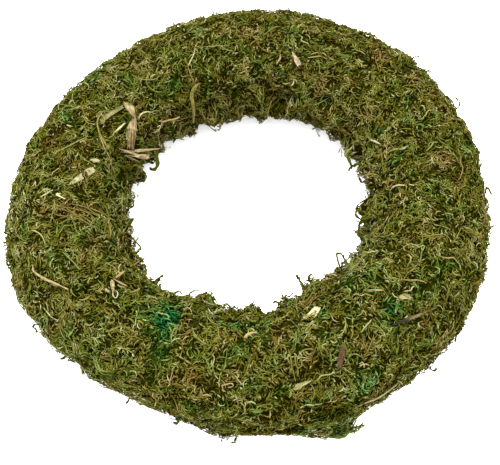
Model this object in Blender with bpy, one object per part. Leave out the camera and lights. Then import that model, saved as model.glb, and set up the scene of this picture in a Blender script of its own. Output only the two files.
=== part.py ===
"""A moss wreath: a ring of bound straw, wrapped in handfuls of dried moss that a thin wire holds on.

Units are metres, +Z is up. The wreath lies flat, with its origin on the surface under its middle.
Two angles give a place on the roll. round_ring runs anticlockwise round the wreath from +X. round_roll
runs round the roll's own section: 0 on the outside, 90 on top, 180 towards the hole, 270 underneath.
"""

import math

import bpy
import numpy as np
from mathutils import Vector
from mathutils.bvhtree import BVHTree

MM = 0.001

# Driving dimensions
RING_RADIUS = 0.114
ROLL_RADIUS = 0.036
CENTRE_HEIGHT = 0.0315
TOUCHING_GAP = 0.0003

# A hand-wrapped ring isn't quite round: (waves round the ring, how much, where the first crest lies in degrees)
RING_WAVES = ((2, 0.0027, 62.0), (3, 0.0014, 302.0))
ROLL_WAVES = ((1, 0.0013, 17.0), (2, 0.0008, 328.0), (3, 0.0011, 311.0), (4, 0.0010, 9.0))

# The straw bundle and its twine
STRAW_RADIUS = 0.0205
STRAW_VALLEY = 0.0024
STRAW_BUNDLES = 8
STRAW_STATIONS = 28
TWINE_THICKNESS = 0.0017
TWINE_TURNS = 16
TWINE_GAP = 0.0008

# The wire that winds round the moss, one handful to a turn
HANDFULS = 14
WIRE_THICKNESS = 0.0011
WIRE_RADIUS = 0.0306
WIRE_POINTS = 12
ROD_SIDES = 3

# A handful of moss
INSIDE_RADIUS = 0.02525
EDGE_RADIUS = 0.0285
THINNEST_MOSS = 0.0300
SPRIG_DEPTH = 0.0022
LUMP_HEIGHT = 0.0012
LUMP_SIZE = 0.030
LUMP_WAVES = 9
LUMP_SEED = 7
SEAM_GAP = 0.00045
ROWS = (0.0, 0.07, 0.28, 0.5, 0.72, 0.93, 1.0)
COLUMNS = 20
INSIDE_ROWS = (0.0, 0.5, 1.0)
INSIDE_COLUMNS = 12
RESTING_HALF_ANGLE = math.radians(20.0)

# Loose flaps of moss at the foot: where round the ring, where round the roll, how far out, how wide
FOOT_FLAPS = ((263.0, -40.0, 0.0070, 6.0), (287.0, -40.0, 0.0080, 8.0))
FLAP_SPREAD = 14.0

# Sprigs of moss that stand out of a handful
SPRIG_SEED = 31
SPRIG_TRIES = 7
SPRIG_LENGTH = (0.013, 0.020)
SPRIG_RISE = (0.0030, 0.0048)
SPRIG_CURL = (0.5, 1.9)
SPRIG_WIDTH = 0.0030
# Three rings up a sprig: how wide, and how far along. It climbs upright at first, then arches over.
SPRIG_WIDTHS = (1.0, 0.72, 0.42)
SPRIG_LEVELS = (0.10, 0.40, 0.72)
SPRIG_LEANING = 2.5
SPRIG_ARCH = (0.15, 0.90)
SPRIG_CLEARANCE = 0.00035
LOWEST_SPRIG = 0.0008
NEAREST_SPRIGS = 0.045
# The test for touching leaves out the very edge of a sprig's root, where it joins its own handful.
ROOT_IN_TEST = 0.97

# Bits caught in the moss. A section is a list of (across, up) corners, for a half width and half thickness of 1.
SEATING_REACH = 0.05
SEATING_SAMPLES = 6
SECTIONS = {
    "flat": ((-1.0, -1.0), (1.0, -1.0), (1.0, 1.0), (-1.0, 1.0)),
    "stem": ((0.0, -1.0), (0.87, 0.5), (-0.87, 0.5)),
    "straw": ((-0.5, -1.0), (0.5, -1.0), (1.0, 0.1), (0.45, 1.0), (-0.45, 1.0), (-1.0, 0.1)),
    "split_straw": (
        (-0.6, -0.75),
        (0.6, -0.75),
        (1.0, 0.2),
        (0.85, 1.0),
        (0.6, 0.5),
        (0.0, 0.05),
        (-0.6, 0.5),
        (-0.85, 1.0),
        (-1.0, 0.2),
    ),
}
BIT_MATERIALS = (
    ("dry_straw", (0.72, 0.52, 0.28), 0.6),
    ("pale_wood", (0.86, 0.76, 0.48), 0.7),
    ("red_bark", (0.24, 0.10, 0.07), 0.8),
    ("dry_leaf", (0.62, 0.52, 0.27), 0.7),
    ("brown_twig", (0.26, 0.18, 0.10), 0.8),
    ("olive_stem", (0.45, 0.40, 0.16), 0.7),
)
# Each bit: name, material, section, knots of its line as (round ring deg, round roll deg, height mm),
# widths along it in mm, thickness in mm, stations
BITS = (
    ("straw_stalk", "dry_straw", "split_straw", ((146.4, 127, 0.6), (159.2, 151, 0.6)),
     (4.4, 4.8, 5.0, 6.2, 5.0, 5.0, 4.6), 3.2, 7),
    ("straw_torn_end", "dry_straw", "flat", ((143.6, 115, 1.5), (145.2, 122, 2.2), (146.6, 129, 1.0)),
     (3.5, 7.0, 5.5, 1.5), 1.2, 4),
    ("leaf_blade", "dry_leaf", "flat", ((157.6, 110, 0.6), (153.0, 111, 1.2), (148.0, 114, 0.6)),
     (1.0, 3.6, 4.0, 2.0, 0.8), 0.7, 5),
    ("straw_splinter_1", "pale_wood", "flat", ((158.2, 126, 0.5), (153.2, 129, 1.0)),
     (0.8, 1.8, 1.0), 0.8, 3),
    ("straw_splinter_2", "dry_straw", "straw", ((163.5, 145, 1.5), (153.8, 159, 15.5)),
     (1.2, 1.8, 2.6, 1.6, 0.8), 1.2, 4),
    ("straw_splinter_3", "dry_straw", "straw", ((163.4, 137, 0.5), (161.5, 158, 5.0)),
     (1.0, 2.0, 1.4), 1.1, 3),
    ("straw_splinter_4", "dry_straw", "flat", ((162.7, 154, 0.6), (162.4, 165, 5.0)),
     (0.8, 1.6, 1.0), 0.8, 3),
    ("straw_chunk", "pale_wood", "straw", ((163.6, 150, 1.0), (162.0, 156, 5.0), (159.3, 162, 10.0)),
     (1.0, 1.2, 3.2, 3.4, 2.4), 2.0, 5),
    ("grass_loop", "olive_stem", "stem",
     ((168.0, 131, 0.6), (165.0, 120, 1.0), (160.3, 108, 1.6), (157.0, 103, 2.2), (154.2, 107, 2.8),
      (156.0, 111, 3.2)), (1.8, 1.3, 1.0, 0.8, 0.7), 0.9, 8),
    ("grass_curl", "pale_wood", "stem",
     ((145.6, 136, 0.6), (143.2, 133, 1.6), (140.0, 138, 1.8), (137.0, 145, 0.8)), (0.7, 1.0, 0.7), 0.7, 5),
    ("wood_chip_1", "pale_wood", "flat", ((185.1, 101, 0.6), (183.6, 106, 1.0), (182.2, 111, 1.0)),
     (2.4, 4.6, 4.0), 1.2, 3),
    ("wood_chip_2", "pale_wood", "flat", ((180.8, 113, 0.8), (177.8, 122, 0.8)), (4.2, 4.8, 3.6), 1.2, 3),
    ("wood_chip_3", "pale_wood", "flat", ((288.5, 113, 1.0), (292.4, 115, 1.0)), (4.0, 5.4, 4.8), 1.6, 3),
    ("wood_chip_4", "pale_wood", "flat", ((286.4, 112, 0.6), (288.2, 110, 0.6)), (2.4, 3.2, 2.0), 1.0, 3),
    ("wood_chip_5", "pale_wood", "flat", ((174.4, 116, 0.6), (174.8, 124, 0.6)), (1.2, 2.2, 1.4), 0.8, 3),
    ("bark_flake", "red_bark", "flat", ((293.4, 71, 1.0), (291.8, 63, 1.0), (289.8, 56, 0.8)),
     (2.0, 4.6, 3.6, 1.0), 0.9, 4),
    ("leaf_bit", "dry_leaf", "flat", ((316.6, 71, 0.8), (313.3, 76, 1.2), (311.4, 75, 0.8), (309.7, 70, 0.4)),
     (2.6, 4.4, 3.0, 0.9, 0.7), 0.7, 5),
    ("straw_bit_1", "pale_wood", "straw", ((309.2, 101, 0.6), (311.5, 94, 0.6)), (0.8, 1.3, 0.9), 0.9, 3),
    ("straw_bit_2", "pale_wood", "straw", ((183.0, 45, 0.6), (186.7, 51, 0.6)), (0.7, 1.2, 0.8), 0.9, 3),
    ("straw_bit_3", "dry_straw", "straw", ((189.2, 73, 0.6), (188.0, 82, 0.6)), (0.7, 1.2, 0.8), 0.9, 3),
    ("straw_bit_4", "dry_straw", "straw", ((81.6, 123, 0.6), (79.4, 131, 0.6)), (0.7, 1.3, 0.8), 0.9, 3),
    ("straw_bit_5", "pale_wood", "stem", ((189.3, 87, 0.6), (189.6, 91, 1.0), (191.4, 93, 0.6)),
     (1.0, 1.4, 0.8), 0.9, 4),
    ("brown_twig", "brown_twig", "straw", ((307.1, 63, 0.4), (312.9, 56, 0.8), (319.2, 45, 0.8)),
     (1.6, 2.4, 2.2, 1.2), 1.8, 5),
    ("thin_stalk", "dry_straw", "stem", ((294.5, 13, 0.6), (299.0, 10, 0.8), (303.4, 8, 0.8)),
     (0.8, 1.2, 0.7), 0.9, 5),
    ("bent_stalk", "dry_straw", "straw", ((206.8, 48, 0.8), (210.6, 56, 1.2), (215.5, 63, 1.2), (219.0, 66, 0.8)),
     (1.0, 2.2, 1.8, 1.0), 1.4, 6),
    ("moss_stem", "olive_stem", "stem",
     ((117.7, 140, 0.8), (118.9, 154, 1.2), (119.8, 170, 1.2), (119.6, 193, 0.6)),
     (1.0, 1.5, 1.9, 1.4), 1.3, 7),
    ("pale_leaf", "dry_leaf", "flat", ((280.3, 48, 0.6), (281.8, 52, 1.2), (283.8, 56, 0.8)),
     (1.6, 3.6, 1.2), 0.7, 4),
    ("pink_leaf", "dry_leaf", "flat", ((73.4, 122, 0.6), (71.0, 128, 1.0)), (1.4, 3.0, 1.0), 0.7, 3),
    ("straw_tuft_1", "dry_straw", "flat", ((223.1, 106, 0.6), (223.3, 120, 1.2)), (1.2, 2.0, 1.0), 0.8, 3),
    ("straw_tuft_2", "dry_straw", "straw", ((223.7, 104, 0.6), (227.4, 111, 0.8)), (0.8, 1.3, 0.8), 0.8, 3),
    ("straw_tuft_3", "pale_wood", "flat", ((224.8, 94, 0.6), (227.8, 95, 0.8)), (1.4, 3.0, 1.6), 0.8, 3),
)


def waves(terms, round_ring):
    """The sum of a few cosine waves round the ring."""
    total = 0.0
    for count, height, crest in terms:
        total = total + height * np.cos(count * (round_ring - math.radians(crest)))
    return total


def ring_radius(round_ring):
    return RING_RADIUS + waves(RING_WAVES, round_ring)


def roll_radius(round_ring):
    return ROLL_RADIUS + waves(ROLL_WAVES, round_ring)


def on_roll(round_ring, round_roll, radius):
    """Points at a distance from the middle of the roll."""
    reach = ring_radius(round_ring) + radius * np.cos(round_roll)
    height = CENTRE_HEIGHT + radius * np.sin(round_roll)
    return np.stack([reach * np.cos(round_ring), reach * np.sin(round_ring), height + 0.0 * reach], axis=-1)


def lumps(points):
    """Soft hills and dips, about 1 high: plane waves in seeded directions, added up."""
    rng = np.random.default_rng(LUMP_SEED)
    ways = rng.normal(size=(LUMP_WAVES, 3))
    ways /= np.linalg.norm(ways, axis=1, keepdims=True)
    lengths = LUMP_SIZE * rng.uniform(0.7, 1.5, LUMP_WAVES)
    starts = rng.uniform(0.0, 2.0 * math.pi, LUMP_WAVES)
    return np.sin(points @ (ways / lengths[:, None]).T * 2.0 * math.pi + starts).sum(axis=-1) / math.sqrt(
        LUMP_WAVES / 2.0
    )


def degrees_between(first, second):
    """How far one angle is from another, in degrees, with full turns left out."""
    return (first - second + 180.0) % 360.0 - 180.0


def foot_flaps(round_ring, round_roll):
    """How far the loose flaps stand out at the foot."""
    total = 0.0
    for ring_place, roll_place, reach, spread in FOOT_FLAPS:
        along = degrees_between(np.degrees(round_ring), ring_place) / spread
        across = degrees_between(np.degrees(round_roll), roll_place) / FLAP_SPREAD
        total = total + reach * np.exp(-(along**2) - across**2)
    return total


def moss_radius(round_ring, round_roll):
    """From the middle of the roll to the moss, without its sprigs."""
    smooth = roll_radius(round_ring) - SPRIG_DEPTH
    relief = LUMP_HEIGHT * lumps(on_roll(round_ring, round_roll, smooth))
    return np.maximum(smooth + relief, THINNEST_MOSS) + foot_flaps(round_ring, round_roll)


def finish(name, colour, roughness, metallic=0.0):
    material = bpy.data.materials.new(name)
    material.use_nodes = True
    shader = material.node_tree.nodes["Principled BSDF"]
    shader.inputs["Base Color"].default_value = (*colour, 1.0)
    shader.inputs["Roughness"].default_value = roughness
    shader.inputs["Metallic"].default_value = metallic
    material.diffuse_color = (*colour, 1.0)
    return material


def add_node(name, points, faces, material):
    mesh = bpy.data.meshes.new(name)
    mesh.from_pydata([tuple(p) for p in points], [], faces)
    mesh.materials.append(material)
    mesh.validate()
    node = bpy.data.objects.new(name, mesh)
    bpy.context.scene.collection.objects.link(node)
    return node


def closed_tube_faces(stations, sides):
    """Faces of a tube that closes on itself, with its points listed station by station."""
    faces = []
    for station in range(stations):
        following = (station + 1) % stations
        for side in range(sides):
            beside = (side + 1) % sides
            faces.append(
                (
                    station * sides + side,
                    following * sides + side,
                    following * sides + beside,
                    station * sides + beside,
                )
            )
    return faces


def wound_rod(name, centres, outwards, thickness, material):
    """A three-sided rod along a closed line, with one edge towards the middle of the roll."""
    onwards = np.roll(centres, -1, axis=0) - np.roll(centres, 1, axis=0)
    onwards /= np.linalg.norm(onwards, axis=1, keepdims=True)
    beside = np.cross(outwards, onwards)
    beside /= np.linalg.norm(beside, axis=1, keepdims=True)
    points = []
    for side in range(ROD_SIDES):
        turn = math.pi + 2.0 * math.pi * side / ROD_SIDES
        points.append(centres + thickness / 2.0 * (math.cos(turn) * outwards + math.sin(turn) * beside))
    points = np.stack(points, axis=1).reshape(-1, 3)
    return add_node(name, points, closed_tube_faces(len(centres), ROD_SIDES), material)


def straw_ring():
    """Straw laid in eight bundles along the ring, which twist by one bundle on the way round."""
    sides = 2 * STRAW_BUNDLES
    ring_angles, side_numbers = np.meshgrid(
        np.arange(STRAW_STATIONS) * 2.0 * math.pi / STRAW_STATIONS, np.arange(sides), indexing="ij"
    )
    roll_angles = side_numbers * 2.0 * math.pi / sides + ring_angles / STRAW_BUNDLES
    radii = STRAW_RADIUS - STRAW_VALLEY * (side_numbers % 2)
    points = on_roll(ring_angles, roll_angles, radii)
    faces = closed_tube_faces(STRAW_STATIONS, sides)
    # The twist brings the last station one bundle, or two sides, further than the first.
    last = STRAW_STATIONS - 1
    for side in range(sides):
        beside = (side + 1) % sides
        faces[last * sides + side] = (
            last * sides + side,
            (side + 2) % sides,
            (beside + 2) % sides,
            last * sides + beside,
        )
    straw = finish("straw", (0.55, 0.40, 0.19), 0.75)
    add_node("straw_ring", points.reshape(-1, 3), faces, straw)


def straw_twine():
    """Twine round the straw. It touches down on each bundle, and crosses the dips between them."""
    # One bundle less than whole turns, because the bundles twist on by one.
    steps = np.arange(TWINE_TURNS * STRAW_BUNDLES - 1)
    ring_angles = steps * 2.0 * math.pi / len(steps)
    roll_angles = steps * 2.0 * math.pi / STRAW_BUNDLES + ring_angles / STRAW_BUNDLES
    radius = STRAW_RADIUS + TWINE_GAP + TWINE_THICKNESS / 2.0
    centres = on_roll(ring_angles, roll_angles, radius)
    outwards = centres - on_roll(ring_angles, roll_angles, 0.0)
    outwards /= np.linalg.norm(outwards, axis=1, keepdims=True)
    twine = finish("jute_twine", (0.42, 0.31, 0.17), 0.9)
    wound_rod("straw_twine", centres, outwards, TWINE_THICKNESS, twine)


def seam_angle(number, round_roll):
    """Where a seam lies round the ring. It runs with the wire, one handful on for each turn round the roll."""
    handful = 2.0 * math.pi / HANDFULS
    return handful * (number + (round_roll + math.pi / 2.0) / (2.0 * math.pi))


def binding_wire():
    """Thin wire wound once round the roll at each handful. It lies in the dip between two of them."""
    steps = np.arange(HANDFULS * WIRE_POINTS)
    roll_angles = -math.pi / 2.0 + steps * 2.0 * math.pi / WIRE_POINTS
    ring_angles = seam_angle(0, roll_angles)
    centres = on_roll(ring_angles, roll_angles, WIRE_RADIUS)
    outwards = centres - on_roll(ring_angles, roll_angles, 0.0)
    outwards /= np.linalg.norm(outwards, axis=1, keepdims=True)
    wire = finish("green_wire", (0.05, 0.09, 0.04), 0.45, 0.6)
    return wound_rod("binding_wire", centres, outwards, WIRE_THICKNESS, wire)


def pad_grid(number, rows, columns, radius_at, trim):
    """Points of one handful's face, as rows across it and columns round the roll."""
    gap = SEAM_GAP / 2.0 / (RING_RADIUS - ROLL_RADIUS)
    lap = SEAM_GAP / 2.0 / INSIDE_RADIUS
    round_roll = np.linspace(-math.pi / 2.0 + lap, 1.5 * math.pi - lap, columns + 1)
    across, round_roll = np.meshgrid(np.array(rows), round_roll, indexing="ij")
    start = seam_angle(number, round_roll) + gap
    end = seam_angle(number + 1, round_roll) - gap
    round_ring = start + (end - start) * across
    points = on_roll(round_ring, round_roll, radius_at(across, round_ring, round_roll))
    if trim:
        from_bottom = np.abs((round_roll + 1.5 * math.pi) % (2.0 * math.pi) - math.pi)
        resting = from_bottom < RESTING_HALF_ANGLE
        on_edge = (across == rows[0]) | (across == rows[-1])
        points[..., 2] = np.where(resting & ~on_edge, 0.0, np.maximum(points[..., 2], 0.0))
    return points


def outside_radius(across, round_ring, round_roll):
    """The moss, pinched to the edge of the handful where the wire holds it."""
    on_edge = (across == ROWS[0]) | (across == ROWS[-1])
    return np.where(on_edge, EDGE_RADIUS, moss_radius(round_ring, round_roll))


def inside_radius(across, round_ring, round_roll):
    return INSIDE_RADIUS + 0.0 * round_ring


def stitch(first, second):
    """Triangles between two lines of points with unequal counts, from the first line to the second."""
    faces = []
    here, there = 0, 0
    while here < len(first) - 1 or there < len(second) - 1:
        next_here = (here + 1) / (len(first) - 1)
        next_there = (there + 1) / (len(second) - 1)
        if there == len(second) - 1 or (here < len(first) - 1 and next_here <= next_there):
            faces.append((first[here], first[here + 1], second[there]))
            here += 1
        else:
            faces.append((first[here], second[there + 1], second[there]))
            there += 1
    return faces


def pad_shell(number):
    """One handful without sprigs: (points, triangles that may carry a sprig, all other triangles)."""
    outside = pad_grid(number, ROWS, COLUMNS, outside_radius, True)
    inside = pad_grid(number, INSIDE_ROWS, INSIDE_COLUMNS, inside_radius, False)
    points = [*outside.reshape(-1, 3), *inside.reshape(-1, 3)]
    wide = COLUMNS + 1
    narrow = INSIDE_COLUMNS + 1
    first_inside = len(ROWS) * wide

    def outer(row, column):
        return row * wide + column

    def inner(row, column):
        return first_inside + row * narrow + column

    growing, plain = [], []
    for row in range(len(ROWS) - 1):
        for column in range(COLUMNS):
            corners = (
                outer(row, column),
                outer(row + 1, column),
                outer(row + 1, column + 1),
                outer(row, column + 1),
            )
            if (row + column) % 2:
                pair = [(corners[0], corners[1], corners[2]), (corners[0], corners[2], corners[3])]
            else:
                pair = [(corners[1], corners[2], corners[3]), (corners[1], corners[3], corners[0])]
            grows = 0 < row < len(ROWS) - 2 and 0 < column < COLUMNS - 1 and (row + column) % 2
            if grows:
                growing.append(pair[(row + column // 2) % 2])
                plain.append(pair[1 - (row + column // 2) % 2])
            else:
                plain.extend(pair)
    for row in range(len(INSIDE_ROWS) - 1):
        for column in range(INSIDE_COLUMNS):
            plain.append((inner(row, column), inner(row, column + 1), inner(row + 1, column + 1)))
            plain.append((inner(row, column), inner(row + 1, column + 1), inner(row + 1, column)))
    last_row, last_inside = len(ROWS) - 1, len(INSIDE_ROWS) - 1
    first_wall = stitch([outer(0, c) for c in range(wide)], [inner(0, c) for c in range(narrow)])
    end_wall = stitch([outer(last_row, c) for c in range(wide)], [inner(last_inside, c) for c in range(narrow)])
    start_lap = stitch([outer(r, 0) for r in range(len(ROWS))], [inner(r, 0) for r in range(len(INSIDE_ROWS))])
    end_lap = stitch(
        [outer(r, COLUMNS) for r in range(len(ROWS))],
        [inner(r, INSIDE_COLUMNS) for r in range(len(INSIDE_ROWS))],
    )
    plain.extend(first_wall)
    plain.extend(face[::-1] for face in end_wall)
    plain.extend(face[::-1] for face in start_lap)
    plain.extend(end_lap)
    return points, growing, plain


def turned(offsets, start, end):
    """Offsets square to one direction, turned so that they are square to another."""
    turn = Vector(start).rotation_difference(Vector(end))
    return np.array([turn @ Vector(offset) for offset in offsets])


def sprig_rings(corners, rng):
    """Three-point rings up a sprig, and its tip. The sprig rises from a triangle, then curls over sideways."""
    middle = corners.mean(axis=0)
    up = np.cross(corners[1] - corners[0], corners[2] - corners[0])
    up /= np.linalg.norm(up)
    heading = rng.uniform(0.0, 2.0 * math.pi)
    curl = rng.uniform(*SPRIG_CURL) * rng.choice((-1.0, 1.0))
    length = rng.uniform(*SPRIG_LENGTH)
    rise = rng.uniform(*SPRIG_RISE)
    first = corners[1] - corners[0]
    first = first - up * (first @ up)
    first /= np.linalg.norm(first)
    second = np.cross(up, first)
    levels = (*SPRIG_LEVELS, 1.0)
    path = [middle]
    for before, level in zip((0.0, *SPRIG_LEVELS), levels):
        turn = heading + curl * (level + before) / 2.0
        step = length * (level - before) * (math.cos(turn) * first + math.sin(turn) * second)
        flat = path[-1] + step * min(1.0, SPRIG_LEANING * level)
        arch = SPRIG_ARCH[0] + (SPRIG_ARCH[1] - SPRIG_ARCH[0]) * level
        height = rise * math.sin(math.pi * arch)
        path.append(flat + up * (height - (flat - middle) @ up))
    radius = SPRIG_WIDTH / 2.0
    offsets = corners - middle
    offsets = offsets / np.linalg.norm(offsets, axis=1, keepdims=True) * radius
    rings = []
    for index, width in enumerate(SPRIG_WIDTHS):
        onwards = path[index + 2] - path[index] if index else up
        onwards = onwards / np.linalg.norm(onwards)
        rings.append(path[index + 1] + width * turned(offsets, up, onwards))
    return rings, path[-1]


def horn_faces(ring_ids, tip_id):
    faces = []
    for lower, upper in zip(ring_ids, ring_ids[1:]):
        for side in range(3):
            beside = (side + 1) % 3
            faces.append((lower[side], lower[beside], upper[beside]))
            faces.append((lower[side], upper[beside], upper[side]))
    top = ring_ids[-1]
    for side in range(3):
        faces.append((top[side], top[(side + 1) % 3], tip_id))
    return faces


def fattened(ring):
    """A ring of a sprig, wider by the room that it needs to its neighbours."""
    middle = ring.mean(axis=0)
    spokes = ring - middle
    return middle + spokes * (1.0 + SPRIG_CLEARANCE / np.linalg.norm(spokes, axis=1, keepdims=True))


def horn(rings, tip):
    """Points and faces of a closed sprig that stands alone."""
    points = [tuple(p) for ring in rings for p in ring] + [tuple(tip)]
    ids = [tuple(range(3 * n, 3 * n + 3)) for n in range(len(rings))]
    return points, horn_faces(ids, len(points) - 1) + [ids[0][::-1]]


def crosses_itself(points, faces):
    tree = BVHTree.FromPolygons(points, faces)
    return any(not set(faces[one]) & set(faces[other]) for one, other in tree.overlap(tree))


def standing_sprig(corners, rings, tip, ground_tree, others_tree, neighbours):
    """The tree of a sprig, for the test of the next ones. None where it would touch something."""
    lowest = min(ring[:, 2].min() for ring in rings)
    if min(lowest, tip[2]) < LOWEST_SPRIG:
        return None
    fat_rings = [fattened(ring) for ring in rings]
    if BVHTree.FromPolygons(*horn(fat_rings, tip)).overlap(ground_tree):
        return None
    middle = corners.mean(axis=0)
    root = middle + ROOT_IN_TEST * (corners - middle)
    whole = horn([root, *fat_rings], tip)
    if crosses_itself(*whole) or crosses_itself(*horn([corners, *rings], tip)):
        return None
    tree = BVHTree.FromPolygons(*whole)
    if tree.overlap(others_tree) or any(tree.overlap(other) for other in neighbours):
        return None
    return tree


def grow_sprigs(shells, ground_tree, others_tree):
    """Sprigs on every handful, one after another. One that would touch something grows another way, or not."""
    rng = np.random.default_rng(SPRIG_SEED)
    standing = []
    for points, growing, plain in shells:
        for face in growing:
            corners = np.array([points[i] for i in face])
            middle = corners.mean(axis=0)
            neighbours = [tree for place, tree in standing if np.linalg.norm(place - middle) < NEAREST_SPRIGS]
            tree = None
            for _ in range(SPRIG_TRIES):
                rings, tip = sprig_rings(corners, rng)
                tree = standing_sprig(corners, rings, tip, ground_tree, others_tree, neighbours)
                if tree is not None:
                    break
            if tree is None:
                plain.append(face)
                continue
            standing.append((middle, tree))
            first_id = len(points)
            points.extend(point for ring in rings for point in ring)
            points.append(tip)
            ids = [face] + [tuple(range(first_id + 3 * n, first_id + 3 * n + 3)) for n in range(len(rings))]
            plain.extend(horn_faces(ids, len(points) - 1))


def between(points, axis, count):
    """Points along a grid's lines, with more in between."""
    shares = np.linspace(0.0, 1.0, count, endpoint=False)
    points = np.moveaxis(points, axis, 0)
    following = np.roll(points, -1, axis=0)
    more = [points + share * (following - points) for share in shares]
    more = np.stack(more, axis=1).reshape(-1, *points.shape[1:])
    return np.moveaxis(more, 0, axis)


def seated(rings, up, ground_tree):
    """Moves a stiff piece along a direction, until it lies on the moss with only the touching gap between."""
    lowest = []
    samples = between(between(rings, 1, SEATING_SAMPLES), 0, SEATING_SAMPLES)
    samples = samples[: (len(rings) - 1) * SEATING_SAMPLES + 1]
    for point in samples.reshape(-1, 3):
        above = Vector(point) + Vector(up) * SEATING_REACH
        hit = ground_tree.ray_cast(above, -Vector(up))[0]
        if hit is not None:
            lowest.append((Vector(point) - hit) @ Vector(up))
    return rings + up * (TOUCHING_GAP - min(lowest))


def place_on_moss(place, ground_tree):
    """A point above the moss, and the way out of the roll there. place is (round ring, round roll, height)."""
    round_ring, round_roll = math.radians(place[0]), math.radians(place[1])
    core = on_roll(round_ring, round_roll, 0.0)
    out = on_roll(round_ring, round_roll, 1.0) - core
    hit = ground_tree.ray_cast(Vector(core + out * 2.0 * ROLL_RADIUS), -Vector(out))[0]
    return np.array(hit) + place[2] * MM * out, out


def along_line(knots, count):
    """Points along one smooth curve through the knots, where each span follows its neighbours."""
    knots = np.array(knots)
    ends = np.vstack([2.0 * knots[0] - knots[1], knots, 2.0 * knots[-1] - knots[-2]])
    spots = []
    for spot in np.linspace(0.0, len(knots) - 1.0, count):
        span = min(int(spot), len(knots) - 2)
        share = spot - span
        a, b, c, d = ends[span : span + 4]
        bend = (2.0 * a - 5.0 * b + 4.0 * c - d) * share + (3.0 * b - a - 3.0 * c + d) * share**2
        spots.append(b + 0.5 * share * (c - a + bend))
    return np.array(spots)


def swept_piece(name, line, ups, halves, section, ground_tree, material):
    """A section carried along a line. halves gives half the width and half the thickness at each station."""
    onwards = np.gradient(line, axis=0)
    onwards /= np.linalg.norm(onwards, axis=1, keepdims=True)
    beside = np.cross(onwards, ups)
    beside /= np.linalg.norm(beside, axis=1, keepdims=True)
    upright = np.cross(beside, onwards)
    points = []
    for station, (half_width, half_thickness) in enumerate(halves):
        for across, high in section:
            points.append(
                line[station]
                + across * half_width * MM * beside[station]
                + high * half_thickness * MM * upright[station]
            )
    sides = len(section)
    up = ups.mean(axis=0) / np.linalg.norm(ups.mean(axis=0))
    points = seated(np.array(points).reshape(-1, sides, 3), up, ground_tree).reshape(-1, 3)
    faces = []
    for station in range(len(line) - 1):
        for side in range(sides):
            beside_it = (side + 1) % sides
            low, high = station * sides, (station + 1) * sides
            faces.append((low + side, low + beside_it, high + beside_it, high + side))
    faces.append(tuple(range(sides))[::-1])
    faces.append(tuple(range(len(points) - sides, len(points))))
    faces = [face[::-1] for face in faces]
    add_node(name, points, faces, material)
    return points, faces


def profile(widths, thickness, count):
    """Half widths and half thicknesses at evenly spaced stations, from a few widths along the piece."""
    spots = np.linspace(0.0, 1.0, len(widths))
    halves = np.interp(np.linspace(0.0, 1.0, count), spots, widths) / 2.0
    return [(half, min(half, thickness / 2.0)) for half in halves]


def tree_of(solids):
    """One tree of the faces of several solids, each given as its points and its faces."""
    points, faces = [], []
    for solid_points, solid_faces in solids:
        offset = len(points)
        points.extend(tuple(p) for p in solid_points)
        faces.extend(tuple(i + offset for i in face) for face in solid_faces)
    return BVHTree.FromPolygons(points, faces)


def loose_bits(pads):
    """Bits of straw, wood, bark and grass that came with the moss and are caught in it, one on the other."""
    solids = []
    materials = {name: finish(name, colour, roughness) for name, colour, roughness in BIT_MATERIALS}
    for name, material, section, knots, widths, thickness, stations in BITS:
        ground_tree = tree_of([*pads, *solids])
        spots = [place_on_moss(knot, ground_tree) for knot in knots]
        line = along_line([spot for spot, _ in spots], stations)
        ups = along_line([up for _, up in spots], stations)
        halves = profile(widths, thickness, stations)
        solids.append(swept_piece(name, line, ups, halves, SECTIONS[section], ground_tree, materials[material]))
    return solids


def clear_scene():
    for old in list(bpy.data.objects):
        bpy.data.objects.remove(old, do_unlink=True)


def main():
    clear_scene()
    straw_ring()
    straw_twine()
    wire = binding_wire()
    shells = [pad_shell(number) for number in range(HANDFULS)]
    pads = [(points, growing + plain) for points, growing, plain in shells]
    bits = loose_bits(pads)
    wire_solid = ([v.co for v in wire.data.vertices], [tuple(f.vertices) for f in wire.data.polygons])
    grow_sprigs(shells, tree_of(pads), tree_of([*bits, wire_solid]))
    moss = finish("moss", (0.16, 0.17, 0.05), 0.95)
    for number, (points, _, faces) in enumerate(shells):
        add_node(f"moss_pad_{number + 1:02d}", points, faces, moss)


main()
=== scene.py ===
"""A moss wreath, dressed: dried moss wired in handfuls onto a bound straw ring, lying on a white table.

Metres, +Z up. Two angles give a place on the roll of moss: the ring angle runs anticlockwise round the
wreath from +X, and the roll angle runs round the roll's own section, 0 on the outside, 90 degrees on top.
"""

import math

import bpy
import numpy as np
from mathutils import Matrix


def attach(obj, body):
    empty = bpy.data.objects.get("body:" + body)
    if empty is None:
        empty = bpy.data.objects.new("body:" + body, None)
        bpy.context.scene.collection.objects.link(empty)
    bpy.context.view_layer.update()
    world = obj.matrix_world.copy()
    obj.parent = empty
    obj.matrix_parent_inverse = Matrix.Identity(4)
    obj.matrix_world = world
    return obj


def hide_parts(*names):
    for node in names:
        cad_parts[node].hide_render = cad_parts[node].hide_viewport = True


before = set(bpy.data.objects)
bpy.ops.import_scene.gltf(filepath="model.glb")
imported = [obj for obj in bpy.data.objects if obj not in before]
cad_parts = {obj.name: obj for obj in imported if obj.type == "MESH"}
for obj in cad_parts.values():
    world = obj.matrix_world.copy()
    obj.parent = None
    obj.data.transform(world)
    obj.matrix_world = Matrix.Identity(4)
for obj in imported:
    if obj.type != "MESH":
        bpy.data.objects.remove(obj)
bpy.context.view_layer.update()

# The straw ring and its twine.
# Straw in eight bundles, bound with jute twine. Both keep the solids' own shapes, because the moss hides
# them.


def plain_finish(name, roughness):
    """A new material with one shader: (material, its nodes, its links, the shader)."""
    material = bpy.data.materials.new(name)
    material.use_nodes = True
    tree = material.node_tree
    shader = tree.nodes["Principled BSDF"]
    shader.inputs["Roughness"].default_value = roughness
    return material, tree.nodes, tree.links, shader


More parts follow.
